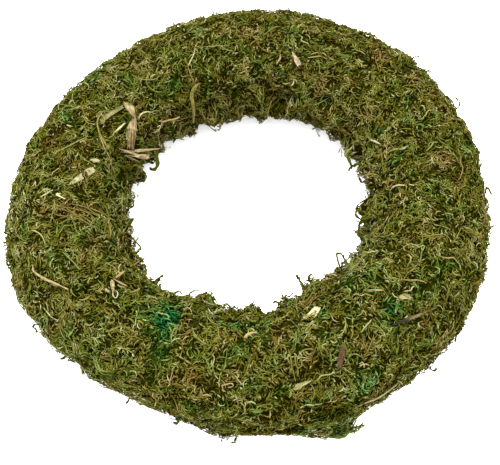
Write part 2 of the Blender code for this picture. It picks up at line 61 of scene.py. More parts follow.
def ramp_of(nodes, links, factor, stops):
    """A colour ramp over a factor, from (position, colour) stops."""
    ramp = nodes.new("ShaderNodeValToRGB")
    elements = ramp.color_ramp.elements
    while len(elements) < len(stops):
        elements.new(0.5)
    for element, (position, colour) in zip(elements, stops):
        element.position = position
        element.color = (*colour, 1.0)
    links.new(factor, ramp.inputs["Fac"])
    return ramp.outputs["Color"]


def streaks(nodes, links, place, grain, detail, roughness):
    """Noise over a place, stretched by grain = (x, y, z) features per metre."""
    stretch = nodes.new("ShaderNodeMapping")
    stretch.inputs["Scale"].default_value = grain
    links.new(place, stretch.inputs["Vector"])
    noise = nodes.new("ShaderNodeTexNoise")
    noise.inputs["Scale"].default_value = 1.0
    noise.inputs["Detail"].default_value = detail
    noise.inputs["Roughness"].default_value = roughness
    links.new(stretch.outputs["Vector"], noise.inputs["Vector"])
    return noise.outputs["Fac"]


def add_relief(nodes, links, shader, height, strength, depth):
    """Fine relief on a finish, where a height of 1 lies a depth in metres over one of 0."""
    relief = nodes.new("ShaderNodeBump")
    relief.inputs["Strength"].default_value = strength
    relief.inputs["Distance"].default_value = depth
    links.new(height, relief.inputs["Height"])
    links.new(relief.outputs["Normal"], shader.inputs["Normal"])


def streaked_finish(name, dark, light, roughness, grain):
    """Two colours mixed by noise on Object coordinates, and the same noise as relief."""
    material, nodes, links, shader = plain_finish(name, roughness)
    place = nodes.new("ShaderNodeTexCoord")
    noise = streaks(nodes, links, place.outputs["Object"], grain, 5.0, 0.6)
    links.new(ramp_of(nodes, links, noise, ((0.32, dark), (0.68, light))), shader.inputs["Base Color"])
    add_relief(nodes, links, shader, noise, 0.3, 0.0004)
    return material


def refinish(node, material):
    """Gives a solid of the frame another finish."""
    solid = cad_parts[node]
    solid.data.materials.clear()
    solid.data.materials.append(material)


bundled_straw = streaked_finish("bundled_straw", (0.26, 0.16, 0.06), (0.62, 0.46, 0.22), 0.6, (260, 260, 700))
jute = streaked_finish("jute", (0.20, 0.13, 0.06), (0.46, 0.33, 0.18), 0.9, (1500, 1500, 1500))
refinish("straw_ring", bundled_straw)
refinish("straw_twine", jute)

# The fourteen handfuls of moss.
# Each is a thick felt of old moss, painted near black, partly as painted shade for the deep gaps, and on it
# thousands of
# dried shoots: feathery fronds, single curled shoots and a few long bare stems. They creep over one another,
# with dark gaps between them.
RING_RADIUS = 0.114
ROLL_RADIUS = 0.036
CENTRE_HEIGHT = 0.0315
# Waves of the two radii round the ring: (how many, height, ring angle of a crest)
RING_WAVES = ((2, 0.0027, 62.0), (3, 0.0014, 302.0))
ROLL_WAVES = ((1, 0.0013, 17.0), (2, 0.0008, 328.0), (3, 0.0011, 311.0), (4, 0.0010, 9.0))
# Thick and thin places of the roll: (ring angle, roll angle, how far it stands out, its spread in degrees
# round the ring). The spread round the roll is the same for all of one kind. First the loose flaps at the
# foot, then the broad swells, and then the bays and heads along the hole.
FOOT_FLAPS = ((263.0, -40.0, 0.0070, 6.0), (288.5, -38.0, 0.0084, 7.5))
FLAP_SPREAD = 14.0
SWELLS = (
    (206.0, 0.0, 0.0022, 13.0), (334.0, 0.0, 0.0028, 12.0), (38.0, 36.0, 0.0018, 18.0),
    (142.0, 37.0, 0.0010, 14.0), (250.0, -15.0, -0.0032, 18.0), (275.0, -25.0, 0.0006, 9.0),
    (301.0, -20.0, -0.0028, 8.0),
)
SWELL_SPREAD = 40.0
HOLE_SWELLS = (
    (9.0, 191.0, -0.0036, 6.0), (67.0, 218.0, -0.0026, 5.0), (101.0, 218.0, -0.0018, 8.0),
    (133.0, 214.0, -0.0020, 7.0), (145.5, 207.0, -0.0036, 6.0), (157.5, 202.0, 0.0026, 4.0),
    (170.0, 195.0, -0.0040, 5.0), (210.0, 174.0, -0.0022, 5.0), (221.5, 167.0, -0.0048, 6.0),
    (231.0, 161.0, -0.0018, 4.0), (251.0, 154.0, 0.0040, 6.5), (276.5, 154.0, -0.0036, 5.0),
    (286.0, 155.0, -0.0034, 4.5), (296.5, 157.0, 0.0044, 4.5), (305.0, 160.0, 0.0020, 4.5),
    (314.5, 164.0, 0.0022, 4.5), (326.0, 170.0, -0.0060, 6.5), (338.5, 166.0, -0.0060, 4.5),
    (354.0, 183.0, 0.0020, 3.0),
)
HOLE_SWELL_SPREAD = 26.0
HANDFULS = 14
MOSS_DEPTH = 0.0014
# Lumps of the moss: how high they are, and their hills as (seed, number of waves, length, range of its share)
LONG_LUMPS = 0.0006
LUMP_HILLS = (7, 9, 0.030, (0.7, 1.5))
TUFTS = 0.0006
TUFT_HILLS = (19, 48, 0.011, (0.6, 1.5))
HOLE_TUSSOCKS = 0.0032
TUSSOCK_HILLS = (23, 12, 0.013, (0.7, 1.5))
HOLE_SIDE_ROLL = 190.0
HOLE_SIDE_SPREAD = 38.0
FELT_DEPTH = 0.0010
FELT_INSIDE = 0.0262
THINNEST = 0.0296
FLOOR_GAP = 0.0004


def waves(terms, ring):
    """The sum of a few cosine waves round the ring."""
    return sum(height * np.cos(count * (ring - math.radians(crest))) for count, height, crest in terms)


def ring_radius(ring):
    """From the middle of the wreath to the middle of the roll: the plain radius and its waves."""
    return RING_RADIUS + waves(RING_WAVES, ring)


def roll_radius(ring):
    """From the middle of the roll to its plain surface: the plain radius and its waves."""
    return ROLL_RADIUS + waves(ROLL_WAVES, ring)


def on_roll(ring, roll, radius):
    """Points at a distance from the middle of the roll: a circle of that radius carried round the ring."""
    reach = ring_radius(ring) + radius * np.cos(roll)
    height = CENTRE_HEIGHT + radius * np.sin(roll)
    return np.stack([reach * np.cos(ring), reach * np.sin(ring), height], axis=-1)


def outwards(ring, roll):
    """The unit direction out of the roll: cos roll along the ring's own radius, and sin roll upwards."""
    return np.stack([np.cos(roll) * np.cos(ring), np.cos(roll) * np.sin(ring), np.sin(roll)], axis=-1)


def hills(points, seed, count, size, spread):
    """Soft hills and dips, about 1 high: plane sine waves in seeded directions, added up."""
    rng = np.random.default_rng(seed)
    ways = rng.normal(size=(count, 3))
    ways /= np.linalg.norm(ways, axis=1, keepdims=True)
    lengths = size * rng.uniform(*spread, count)
    starts = rng.uniform(0.0, 2.0 * math.pi, count)
    heights = np.sin(points @ (ways / lengths[:, None]).T * 2.0 * math.pi + starts)
    return heights.sum(axis=-1) / math.sqrt(count / 2.0)


def turn_between(first, second):
    """How far one angle is from another, in degrees, with full turns left out."""
    return (first - second + 180.0) % 360.0 - 180.0


def stand_out(ring, roll, places, spread_round):
    """How far thick places stand out of the roll: one soft hill for each, exp(-(along^2 + across^2)), where
    along and across count in its spreads."""
    total = 0.0
    for ring_place, roll_place, reach, spread in places:
        along = turn_between(np.degrees(ring), ring_place) / spread
        across = turn_between(np.degrees(roll), roll_place) / spread_round
        total = total + reach * np.exp(-(along**2) - across**2)
    return total


def hole_side(roll):
    """1 on the side of the roll that faces the hole, fading to 0 on top and underneath."""
    return np.exp(-np.square(turn_between(np.degrees(roll), HOLE_SIDE_ROLL) / HOLE_SIDE_SPREAD))


def moss_radius(ring, roll):
    """From the middle of the roll to the moss: the roll, its long lumps, its short tufts, the loose flaps at
    the foot, the broad swells, and the tussocks that hang into the hole."""
    smooth = roll_radius(ring) - MOSS_DEPTH
    places = on_roll(ring, roll, smooth)
    relief = LONG_LUMPS * hills(places, *LUMP_HILLS) + TUFTS * hills(places, *TUFT_HILLS)
    tussocks = HOLE_TUSSOCKS * hole_side(roll) * (hills(places, *TUSSOCK_HILLS) - 0.25)
    thick = stand_out(ring, roll, FOOT_FLAPS, FLAP_SPREAD) + stand_out(ring, roll, SWELLS, SWELL_SPREAD)
    thick = thick + stand_out(ring, roll, HOLE_SWELLS, HOLE_SWELL_SPREAD)
    return np.maximum(smooth + relief + thick + tussocks, THINNEST)


def seam(number, roll):
    """Where the seam before a handful lies round the ring. It winds with the wire."""
    return 2.0 * math.pi / HANDFULS * (number + (roll + math.pi / 2.0) / (2.0 * math.pi))


# The moss's tones. Every point of it has a hue from 0, straw brown, over olive and leaf green to 1, blue
# green, and a tone from 0, dark, to 1, pale. The two are its place on the OFBake map, and the finish turns
# them into colour.
# Patches of other moss, and of painted shade and painted light: (ring angle, roll angle, how wide in mm, hue,
# tone), added to what is round them.
PATCHES = (
    # emerald moss near the hole, and the darker teal moss in front of it
    (242.5, 121, 5, 0.5, -0.06), (245.8, 110, 6, 0.64, -0.06), (242.8, 101, 6.2, 0.52, -0.06),
    (246, 88, 6.6, 0.66, -0.04), (247.4, 65, 5.2, 0.3, -0.18),
    # more emerald and teal moss, at the right, in front and at the far side
    (309.2, 74.2, 5, 0.56, -0.26), (295.6, 37.5, 8, 0.28, 0), (270.4, 51.2, 7, 0.22, 0.02),
    (276.6, 52, 5, 0.3, -0.04), (331.5, 57, 4.5, 0.4, -0.08), (24.1, 136, 3.5, 0.45, 0),
    (56.2, 157, 4, 0.35, -0.06),
    # leaf green
    (10.8, 49, 8, 0.3, -0.03), (137.1, 104.4, 6, 0.14, -0.05), (124.9, 130.2, 7, 0.3, -0.05),
    (318.6, 70.1, 7, 0.26, -0.04), (326.6, 66.6, 6, 0.24, 0), (311.7, 117.5, 6, 0.2, 0),
    (266.9, 112.5, 7, 0.24, -0.03), (206.2, 80.6, 8, 0.16, 0), (160.7, 74.3, 7, 0.16, 0),
    # the right flap: leaf green moss, painted paler as painted light where the roll above shades it
    (282.6, -6, 5.5, 0.24, 0.18), (286.7, -16, 6.5, 0.17, 0.36), (290.5, -16, 5.5, 0.12, 0.28),
    (264.5, -28, 6.5, 0.13, 0.03), (271.6, 9, 5, 0.08, 0.12), (257.6, 26.5, 5, 0.26, 0),
    (223.1, 88, 5, 0.22, 0), (224.7, 112.4, 5, 0.08, 0), (325.9, 48.5, 6, 0.08, 0),
    (242.2, 12.5, 5, 0.14, 0), (309.5, 38.7, 6, 0.22, -0.1), (296.1, 36, 8, 0.08, 0.18),
    (238.5, 24, 9, 0.2, 0), (280.4, 43, 7, 0.12, 0), (290.6, 48.4, 7, 0.12, 0), (322.4, 64.4, 7, 0.18, 0),
    (262, 38, 16, 0.05, 0.02), (253.2, 14, 6, 0.08, 0), (244.3, 24.1, 6, 0.08, 0),
    (237.4, 13.5, 6, 0.08, 0), (97, 64, 11, 0.1, -0.07), (114, 62, 9, 0.1, -0.05),
    # straw brown and rust
    (195.9, 97.4, 6, -0.34, 0.04), (194.4, 114.3, 5, -0.3, 0), (46.5, 79, 6, -0.46, -0.02),
    (81, 156.3, 6, -0.24, 0), (155.4, 84.5, 6, -0.2, 0.03), (2.6, 79.9, 7, -0.2, 0),
    (34.5, 139.4, 6, -0.26, 0), (255.8, 54, 7, -0.15, -0.1), (74.7, 102.4, 6, -0.08, 0),
    (352.7, 95.9, 6, -0.08, 0), (23.7, 103.5, 6, -0.08, 0), (250.2, 109.2, 4, -0.3, 0),
    (258.4, 114.9, 5, -0.18, 0.03), (138.2, 90.8, 5, -0.16, -0.04),
    # darker moss in the hollow at the left of the hole
    (168, 150, 14, 0, -0.14),
    # painted shadow and shade: dark moss at the foot left of the left flap and between the two flaps stands
    # for the table's shadow there, and dark moss over the right flap for the shade in the hollow between flap
    # and roll
    *((ring, -31.0, 5.0, -0.06, -0.26) for ring in (253.5, 256.5, 259.5)),
    *((ring, -8.0, 4.5, -0.08, -0.14) for ring in (268.5, 271.0, 273.5, 276.0, 278.5)),
    *((ring, 15.0, 6.0, 0.06, -0.36) for ring in (285.0, 288.0, 291.0)),
    # painted shade along the near side, and in the gaps between the clumps there
    (265, 12, 14, 0.03, -0.05), (280, 12, 14, 0.03, -0.05), (282, 65.5, 4, 0, -0.3),
    (285.5, 63, 4, 0, -0.34), (278.5, 37.5, 4, 0, -0.3), (274.5, 24, 4, 0, -0.26),
    # painted shade along the groove at the left, from the bent stalk to the straw tufts, and along the one in
    # front of it
    *((220.0 + 0.17 * step, 67.7 + 4.0 * step, 2.0, 0.0, -0.30) for step in range(8)),
    *((230.0 + 0.70 * step, 72.6 + 3.5 * step, 2.0, 0.0, -0.22) for step in range(9)),
    # darker places all round the ring: partly darker moss, partly painted shade where the lamp lights the
    # moss strongly
    (149.7, 77.7, 16, 0, -0.06), (66, 55, 10, 0, -0.29), (87.5, 62, 10, 0, -0.23),
    (118.7, 143, 6, 0, -0.3), (143.5, 129.6, 5, 0, -0.14), (114.6, 111, 8, 0, -0.16),
    (18, 46, 9, 0, -0.08), (10.5, 38, 9, 0, -0.19), (40, 39.5, 9, 0, -0.22), (19.5, 46.7, 8, 0, -0.08),
    (263.2, 23, 6, 0, -0.08), (360, 69, 10, 0, -0.12), (54, 63, 7, 0, -0.2), (49.8, 122.9, 6, 0, -0.1),
    (141.9, 88, 7, 0, -0.08), (354.3, 67, 6, 0, -0.12), (197, 127.2, 6, 0, -0.22),
    (248.8, 29.6, 6, 0, -0.12), (65.4, 145.1, 6, 0, -0.14), (153.8, 88, 6, 0, -0.1),
    (312.1, 72.6, 6, 0, -0.12), (335, 124.5, 6, 0, -0.12), (299.6, 60.5, 5, 0, -0.1),
    (234.4, 34.2, 6, 0, -0.12), (176.9, 118, 6, 0, -0.12), (289.5, 105.8, 5, 0, -0.09),
    (137.1, 158.1, 5, 0, -0.12), (97.2, 83.5, 6, 0, -0.1),
    # paler places all round the ring: partly paler moss, partly painted light, mostly on the side that faces
    # the hole, where little light falls
    (191, 49, 12, 0, 0.14), (224.4, 57, 7, 0, 0.24), (215, 85, 6, 0.06, 0.05), (283, 80, 6, 0, 0.22),
    (10, 168, 9, 0, 0.36), (342.8, 83.6, 7, 0, 0.1), (16.4, 113.5, 6, 0, 0.09), (303.4, 159.2, 6, 0, 0.3),
    (301.8, 88.1, 6, 0, 0.17), (347.5, 181, 7, 0, 0.36), (213.1, 73.7, 6, 0, 0.1),
    (359.4, 119.1, 6, 0, 0.1), (31.5, 182, 7, 0, 0.36), (310.6, 136, 6, 0, 0.24), (212.9, 32, 7, 0, 0.24),
    (211.3, 4.8, 6, 0, 0.12), (191.6, 61.3, 6, 0, 0.12), (175.4, 49.1, 6, 0, 0.12),
    (272, 6.9, 5, 0, 0.14), (2.4, 158.4, 6, 0, 0.26), (191.5, 33, 7, 0, 0.12), (218.7, -7.1, 6, 0, 0.14),
    (338.8, 62, 6, 0, 0.12), (218.2, 74.5, 5, 0, 0.1), (351.5, 32.6, 6, 0, 0.1), (279.5, 59, 5, 0, 0.24),
    (270.8, 52.6, 6, 0, 0.12),
)
# The moss between the patches, with its hills as (seed, number of waves, length, range of its share)
PLAIN_HUE = 0.35
BROAD_HUES = (41, 12, 0.060, (0.7, 1.4))
CLOSE_HUES = (43, 24, 0.012, (0.6, 1.6))
# How much browner the side that faces the hole is turned.
HOLE_SIDE_BROWN = 0.05
PLAIN_TONE = 0.46
BROAD_TONES = (47, 12, 0.050, (0.7, 1.4))
CLOSE_TONES = (53, 24, 0.012, (0.6, 1.6))
# A shoot is paler the higher it lies over the moss, by this much tone a metre, and darker under this height:
# partly older moss low down, partly painted shade deep in the moss.
PALER_HIGH_UP = 100.0
MIDDLE_HEIGHT = 0.0006


def patch_shift(places, column):
    """The sum of the patches' hues or tones at a place, each fading with distance as a bell."""
    total = 0.0
    for patch in PATCHES:
        ring, roll, wide = np.radians(patch[0]), np.radians(patch[1]), patch[2] / 1000.0
        centre = on_roll(ring, roll, moss_radius(ring, roll))
        total = total + patch[column] * np.exp(-np.square(places - centre).sum(axis=-1) / wide**2)
    return total


def moss_hue(places):
    """The hue at a place: the plain one, broad and close hills of it, the patches, and brown over the
    hole."""
    hill = 0.02 * hills(places, *BROAD_HUES) + 0.08 * hills(places, *CLOSE_HUES)
    reach = np.hypot(places[..., 0], places[..., 1])
    roll = np.arctan2(places[..., 2] - CENTRE_HEIGHT, reach - RING_RADIUS)
    return PLAIN_HUE + hill + patch_shift(places, 3) - HOLE_SIDE_BROWN * hole_side(roll)


def moss_tone(places):
    """The tone at a place: the plain one, broad and close hills of it, and the patches."""
    hill = 0.02 * hills(places, *BROAD_TONES) + 0.035 * hills(places, *CLOSE_TONES)
    return PLAIN_TONE + hill + patch_shift(places, 4)


def shoot_colours(rng, places, height, hue_step, tone_step):
    """Hue and tone of shoots: those of their place, each changed by chance, and paler high up. Where a
    shoot is both brown and light, it turns up to 0.6 of the way to olive, because old brown moss is mostly
    dark."""
    hue = moss_hue(places) + rng.normal(0.0, hue_step, len(places))
    tone = moss_tone(places) + rng.normal(0.0, tone_step, len(places))
    tone = tone + PALER_HIGH_UP * (height - MIDDLE_HEIGHT)
    share = np.clip(2.0 * (tone - 0.52), 0.0, 0.6)
    return hue + np.clip(0.32 - hue, 0.0, None) * share, tone


STRAW_BROWN = (
    (0.0, (0.003, 0.0015, 0.0001)),
    (0.45, (0.057, 0.035, 0.0048)),
    (0.75, (0.130, 0.091, 0.034)),
    (1.0, (0.224, 0.180, 0.106)),
)
OLIVE = (
    (0.0, (0.002, 0.002, 0.0001)),
    (0.45, (0.049, 0.0475, 0.0034)),
    (0.75, (0.106, 0.105, 0.027)),
    (1.0, (0.178, 0.179, 0.086)),
)
LEAF_GREEN = (
    (0.0, (0.0008, 0.002, 0.0001)),
    (0.45, (0.024, 0.046, 0.0034)),
    (0.75, (0.062, 0.103, 0.025)),
    (1.0, (0.120, 0.172, 0.062)),
)
BLUE_GREEN = (
    (0.0, (0.0004, 0.003, 0.0006)),
    (0.45, (0.004, 0.048, 0.0105)),
    (0.75, (0.030, 0.112, 0.032)),
    (1.0, (0.100, 0.195, 0.090)),
)
MOSS_DYES = ((0.06, STRAW_BROWN), (0.36, OLIVE), (0.66, LEAF_GREEN), (0.96, BLUE_GREEN))


def turn_into(nodes, links, value, limits, first, second):
    """The first colour, turning into the second where a value goes from one limit to the other."""
    share = nodes.new("ShaderNodeMapRange")
    share.inputs["From Min"].default_value, share.inputs["From Max"].default_value = limits
    links.new(value, share.inputs["Value"])
    mix = nodes.new("ShaderNodeMix")
    mix.data_type = "RGBA"
    links.new(share.outputs["Result"], mix.inputs["Factor"])
    links.new(first, mix.inputs["A"])
    links.new(second, mix.inputs["B"])
    return mix.outputs["Result"]


def moss_finish():
    """Colour from the OFBake map alone: a ramp over tone for each dye, and each turns into the next over
    hue."""
    material, nodes, links, shader = plain_finish("dried_moss", 0.85)
    place = nodes.new("ShaderNodeUVMap")
    place.uv_map = "OFBake"
    split = nodes.new("ShaderNodeSeparateXYZ")
    links.new(place.outputs["UV"], split.inputs["Vector"])
    hue, tone = split.outputs["X"], split.outputs["Y"]
    colour = ramp_of(nodes, links, tone, MOSS_DYES[0][1])
    for (before, _), (position, stops) in zip(MOSS_DYES, MOSS_DYES[1:]):
        colour = turn_into(nodes, links, hue, (before, position), colour, ramp_of(nodes, links, tone, stops))
    links.new(colour, shader.inputs["Base Color"])
    shader.inputs["Specular IOR Level"].default_value = 0.0
    return material


# The felt under the shoots
FELT_STATIONS = 74
OUTSIDE_ROWS = 18
INSIDE_ROWS = 4
END_GAP = 0.004
SEAM_GAP = 0.004
# The felt's tone is near black: old moss, darkened further as painted shade for the gaps between the shoots.
FELT_TONE = 0.05
SPECKLES = (61, 30, 0.006, (0.6, 1.6))


def felt_of(number):
    """One handful's felt: (points, quads, end faces, hue, tone). A loop of points, across the handful outside
    and back inside, is carried round the roll from underneath to underneath."""
    roll = np.linspace(-math.pi / 2.0 + END_GAP, 1.5 * math.pi - END_GAP, FELT_STATIONS)[:, None]
    across_outside = np.linspace(SEAM_GAP, 1.0 - SEAM_GAP, OUTSIDE_ROWS)
    across_inside = np.linspace(1.0 - SEAM_GAP, SEAM_GAP, INSIDE_ROWS)
    across = np.concatenate([across_outside, across_inside])[None, :]
    sides = across.size
    inside = np.arange(sides)[None, :] >= OUTSIDE_ROWS
    ring = seam(number, roll) + (seam(number + 1, roll) - seam(number, roll)) * across
    roll = np.broadcast_to(roll, ring.shape)
    points = on_roll(ring, roll, np.where(inside, FELT_INSIDE, moss_radius(ring, roll) - FELT_DEPTH))
    points[..., 2] = np.maximum(points[..., 2], FLOOR_GAP)
    here = np.arange(FELT_STATIONS - 1)[:, None] * sides
    side = np.arange(sides)[None, :]
    next_side = (side + 1) % sides
    quads = np.stack([here + side, here + next_side, here + sides + next_side, here + sides + side], axis=-1)
    # Each end is closed by faces between the outside row and the inside row behind it.
    behind = np.linspace(0, OUTSIDE_ROWS - 1, INSIDE_ROWS).round().astype(int)
    end_faces = []
    for end in (0, FELT_STATIONS - 1):
        outer = end * sides + np.arange(OUTSIDE_ROWS)
        inner = (end + 1) * sides - np.searchsorted(behind, np.arange(OUTSIDE_ROWS), side="right")
        for i in range(OUTSIDE_ROWS - 1):
            corners = (outer[i], inner[i], inner[i + 1], outer[i + 1])
            if inner[i] == inner[i + 1]:
                corners = (outer[i], inner[i], outer[i + 1])
            end_faces.append(corners if end == 0 else corners[::-1])
    points = points.reshape(-1, 3)
    speckle = hills(points, *SPECKLES)
    hue, tone = moss_hue(points) + 0.08 * speckle, FELT_TONE + 0.03 * speckle
    return points, quads.reshape(-1, 4), end_faces, hue, tone


# The shoots. Their section is a flat triangle: (across, up) as shares of half the width.
SHOOT_SECTION = ((-1.0, -0.30), (1.0, -0.30), (0.0, 0.62))


def creeping_lines(ring, roll, heading, curl, length, root, arch, tip, stations):
    """Centre lines of shoots, as (ring angles, roll angles, heights over the moss). With s from 0 at the
    root to 1 at the tip, a shoot heads along heading + curl * s over the moss, and its height is
    root + arch * sin(0.8 pi s) + tip * s^2."""
    share = np.linspace(0.0, 1.0, stations)
    turn = heading[:, None] + curl[:, None] * (share[:-1] + share[1:]) / 2.0
    step = length[:, None] / (stations - 1)
    start = np.zeros((len(ring), 1))
    along = np.hstack([start, np.cumsum(np.cos(turn) * step, axis=1)])
    across = np.hstack([start, np.cumsum(np.sin(turn) * step, axis=1)])
    reach = ring_radius(ring) + roll_radius(ring) * np.cos(roll)
    height = root[:, None] + arch[:, None] * np.sin(0.8 * math.pi * share) + tip[:, None] * share**2
    return ring[:, None] + along / reach[:, None], roll[:, None] + across / roll_radius(ring)[:, None], height


def on_moss(rings, rolls, height):
    """Points at a height over the moss, and never under the table."""
    points = on_roll(rings, rolls, moss_radius(rings, rolls) + height)
    points[..., 2] = np.maximum(points[..., 2], FLOOR_GAP)
    return points


def shoots_along(points, rings, rolls, width, twist, widths, hue, tone, rise, deep=1.0):
    """Three-sided shoots along lines of points, pointed at both ends: (points, triangles, hue, tone).
    widths gives each inner station's share of the width, twist the section's turn at the root and from
    there to the tip, and rise how much paler the tip is than the root. A deep of 2 makes the section as
    thick as it is wide."""
    onwards = np.gradient(points, axis=1)
    onwards /= np.linalg.norm(onwards, axis=-1, keepdims=True) + 1e-12
    beside = np.cross(onwards, outwards(rings, rolls))
    beside /= np.linalg.norm(beside, axis=-1, keepdims=True) + 1e-12
    above = np.cross(beside, onwards)
    count, stations = points.shape[:2]
    share = np.linspace(0.0, 1.0, stations)
    angle = (twist[:, :1] + twist[:, 1:] * share)[..., None]
    across = (np.cos(angle) * beside + np.sin(angle) * above)[:, 1:-1]
    upright = (np.cos(angle) * above - np.sin(angle) * beside)[:, 1:-1]
    half = (width[:, None] / 2.0 * np.asarray(widths))[..., None]
    edges = [points[:, 1:-1] + half * (a * across + deep * b * upright) for a, b in SHOOT_SECTION]
    inner_points = np.stack(edges, axis=2).reshape(count, -1, 3)
    shoots = np.concatenate([points[:, :1], inner_points, points[:, -1:]], axis=1)
    shoots[..., 2] = np.maximum(shoots[..., 2], FLOOR_GAP)
    inner = stations - 2
    faces = []
    for side in range(3):
        next_side = (side + 1) % 3
        faces.append((0, 1 + side, 1 + next_side))
        for level in range(inner - 1):
            low, high = 1 + 3 * level, 4 + 3 * level
            faces.append((low + side, high + side, high + next_side))
            faces.append((low + side, high + next_side, low + next_side))
        last = 1 + 3 * (inner - 1)
        faces.append((3 * inner + 1, last + next_side, last + side))
    size = 3 * inner + 2
    faces = (np.array(faces)[None] + size * np.arange(count)[:, None, None]).reshape(-1, 3)
    levels = np.concatenate([[0.0], np.repeat(share[1:-1], 3), [1.0]])
    ridge = np.concatenate([[0.0], np.tile([-1.0, 0.0, 1.0], inner), [0.0]])
    hues = hue[:, None] + 0.012 * ridge + 0.02 * (levels - 0.5)
    tones = tone[:, None] + rise * (levels - 0.4) + 0.02 * ridge
    return shoots.reshape(-1, 3), faces, hues.ravel(), tones.ravel()


# The powers of the plastic number spread a run of numbers evenly over a square.
EVEN_STEPS = (0.7548776662466927, 0.5698402909980532)
UNDERNEATH = 0.3
# How shoots lie together: how strongly they turn, and the hills as (seed, waves, length, range of its share)
LIE_TURN = 2.2
LIE_HILLS = (71, 16, 0.032, (0.6, 1.6))


def scattered(rng, count):
    """Places spread evenly over the roll's surface, and thinly where it rests on the table: the numbers 1 to
    count go to even steps round the ring and, by the surface that lies before it, round the roll."""
    rolls = np.linspace(-math.pi / 2.0, 1.5 * math.pi, 721)
    surface = (RING_RADIUS + ROLL_RADIUS * np.cos(rolls)) * np.where(np.sin(rolls) < -0.8, UNDERNEATH, 1.0)
    before = np.concatenate([[0.0], np.cumsum((surface[1:] + surface[:-1]) / 2.0)])
    numbers = np.arange(count)
    ring = 2.0 * math.pi * ((rng.uniform() + numbers * EVEN_STEPS[0]) % 1.0)
    roll = np.interp((rng.uniform() + numbers * EVEN_STEPS[1]) % 1.0, before / before[-1], rolls)
    return ring, roll


def lie(rng, ring, roll, spread):
    """Directions over the moss. Near neighbours lie much the same way, each turned by up to about the
    spread."""
    together = LIE_TURN * hills(on_roll(ring, roll, ROLL_RADIUS), *LIE_HILLS)
    return together + rng.normal(0.0, spread, len(ring))


def twists(rng, count, at_root, to_tip):
    """Each shoot's chance turn of its section at the root, and from there to the tip."""
    return np.stack([rng.normal(0.0, at_root, count), rng.normal(0.0, to_tip, count)], axis=1)


def single_shoots(rng, count, length, width, arch, tip, curl, lift, widths, tone_step, hue_step, rise):
    """Single shoots in random directions: (ring angles, roll angles, the arrays that shoots_along gives). The
    first six sizes after the count are ranges."""
    stations = len(widths) + 2
    ring, roll = scattered(rng, count)
    heading = lie(rng, ring, roll, 0.6)
    turning = rng.uniform(*curl, count) * rng.choice((-1.0, 1.0), count)
    lengths = rng.uniform(*length, count)
    roots, arches, tips = (rng.uniform(*sizes, count) for sizes in (lift, arch, tip))
    rings, rolls, height = creeping_lines(
        ring, roll, heading, turning, lengths, roots, arches, tips, stations,
    )
    points = on_moss(rings, rolls, height)
    middle = stations // 2
    hue, tone = shoot_colours(rng, points[:, middle], height[:, middle], hue_step, tone_step)
    twist = twists(rng, count, 0.5, 1.2)
    wide = rng.uniform(*width, count)
    return ring, roll, shoots_along(points, rings, rolls, wide, twist, widths, hue, tone, rise)


# Sizes of the fronds, in metres from the smallest to the largest. The last two are shares of a shoot's width,
# one for each of its inner stations.
STEM_LENGTHS = (0.009, 0.019)
STEM_WIDTHS = (0.0006, 0.0009)
BRANCHLET_LENGTHS = (0.0024, 0.0052)
BRANCHLET_WIDTHS = (0.0006, 0.0010)
STEM_TAPER = (0.8, 1.0, 1.0, 0.8, 0.5)
BRANCHLET_TAPER = (1.0, 0.8)


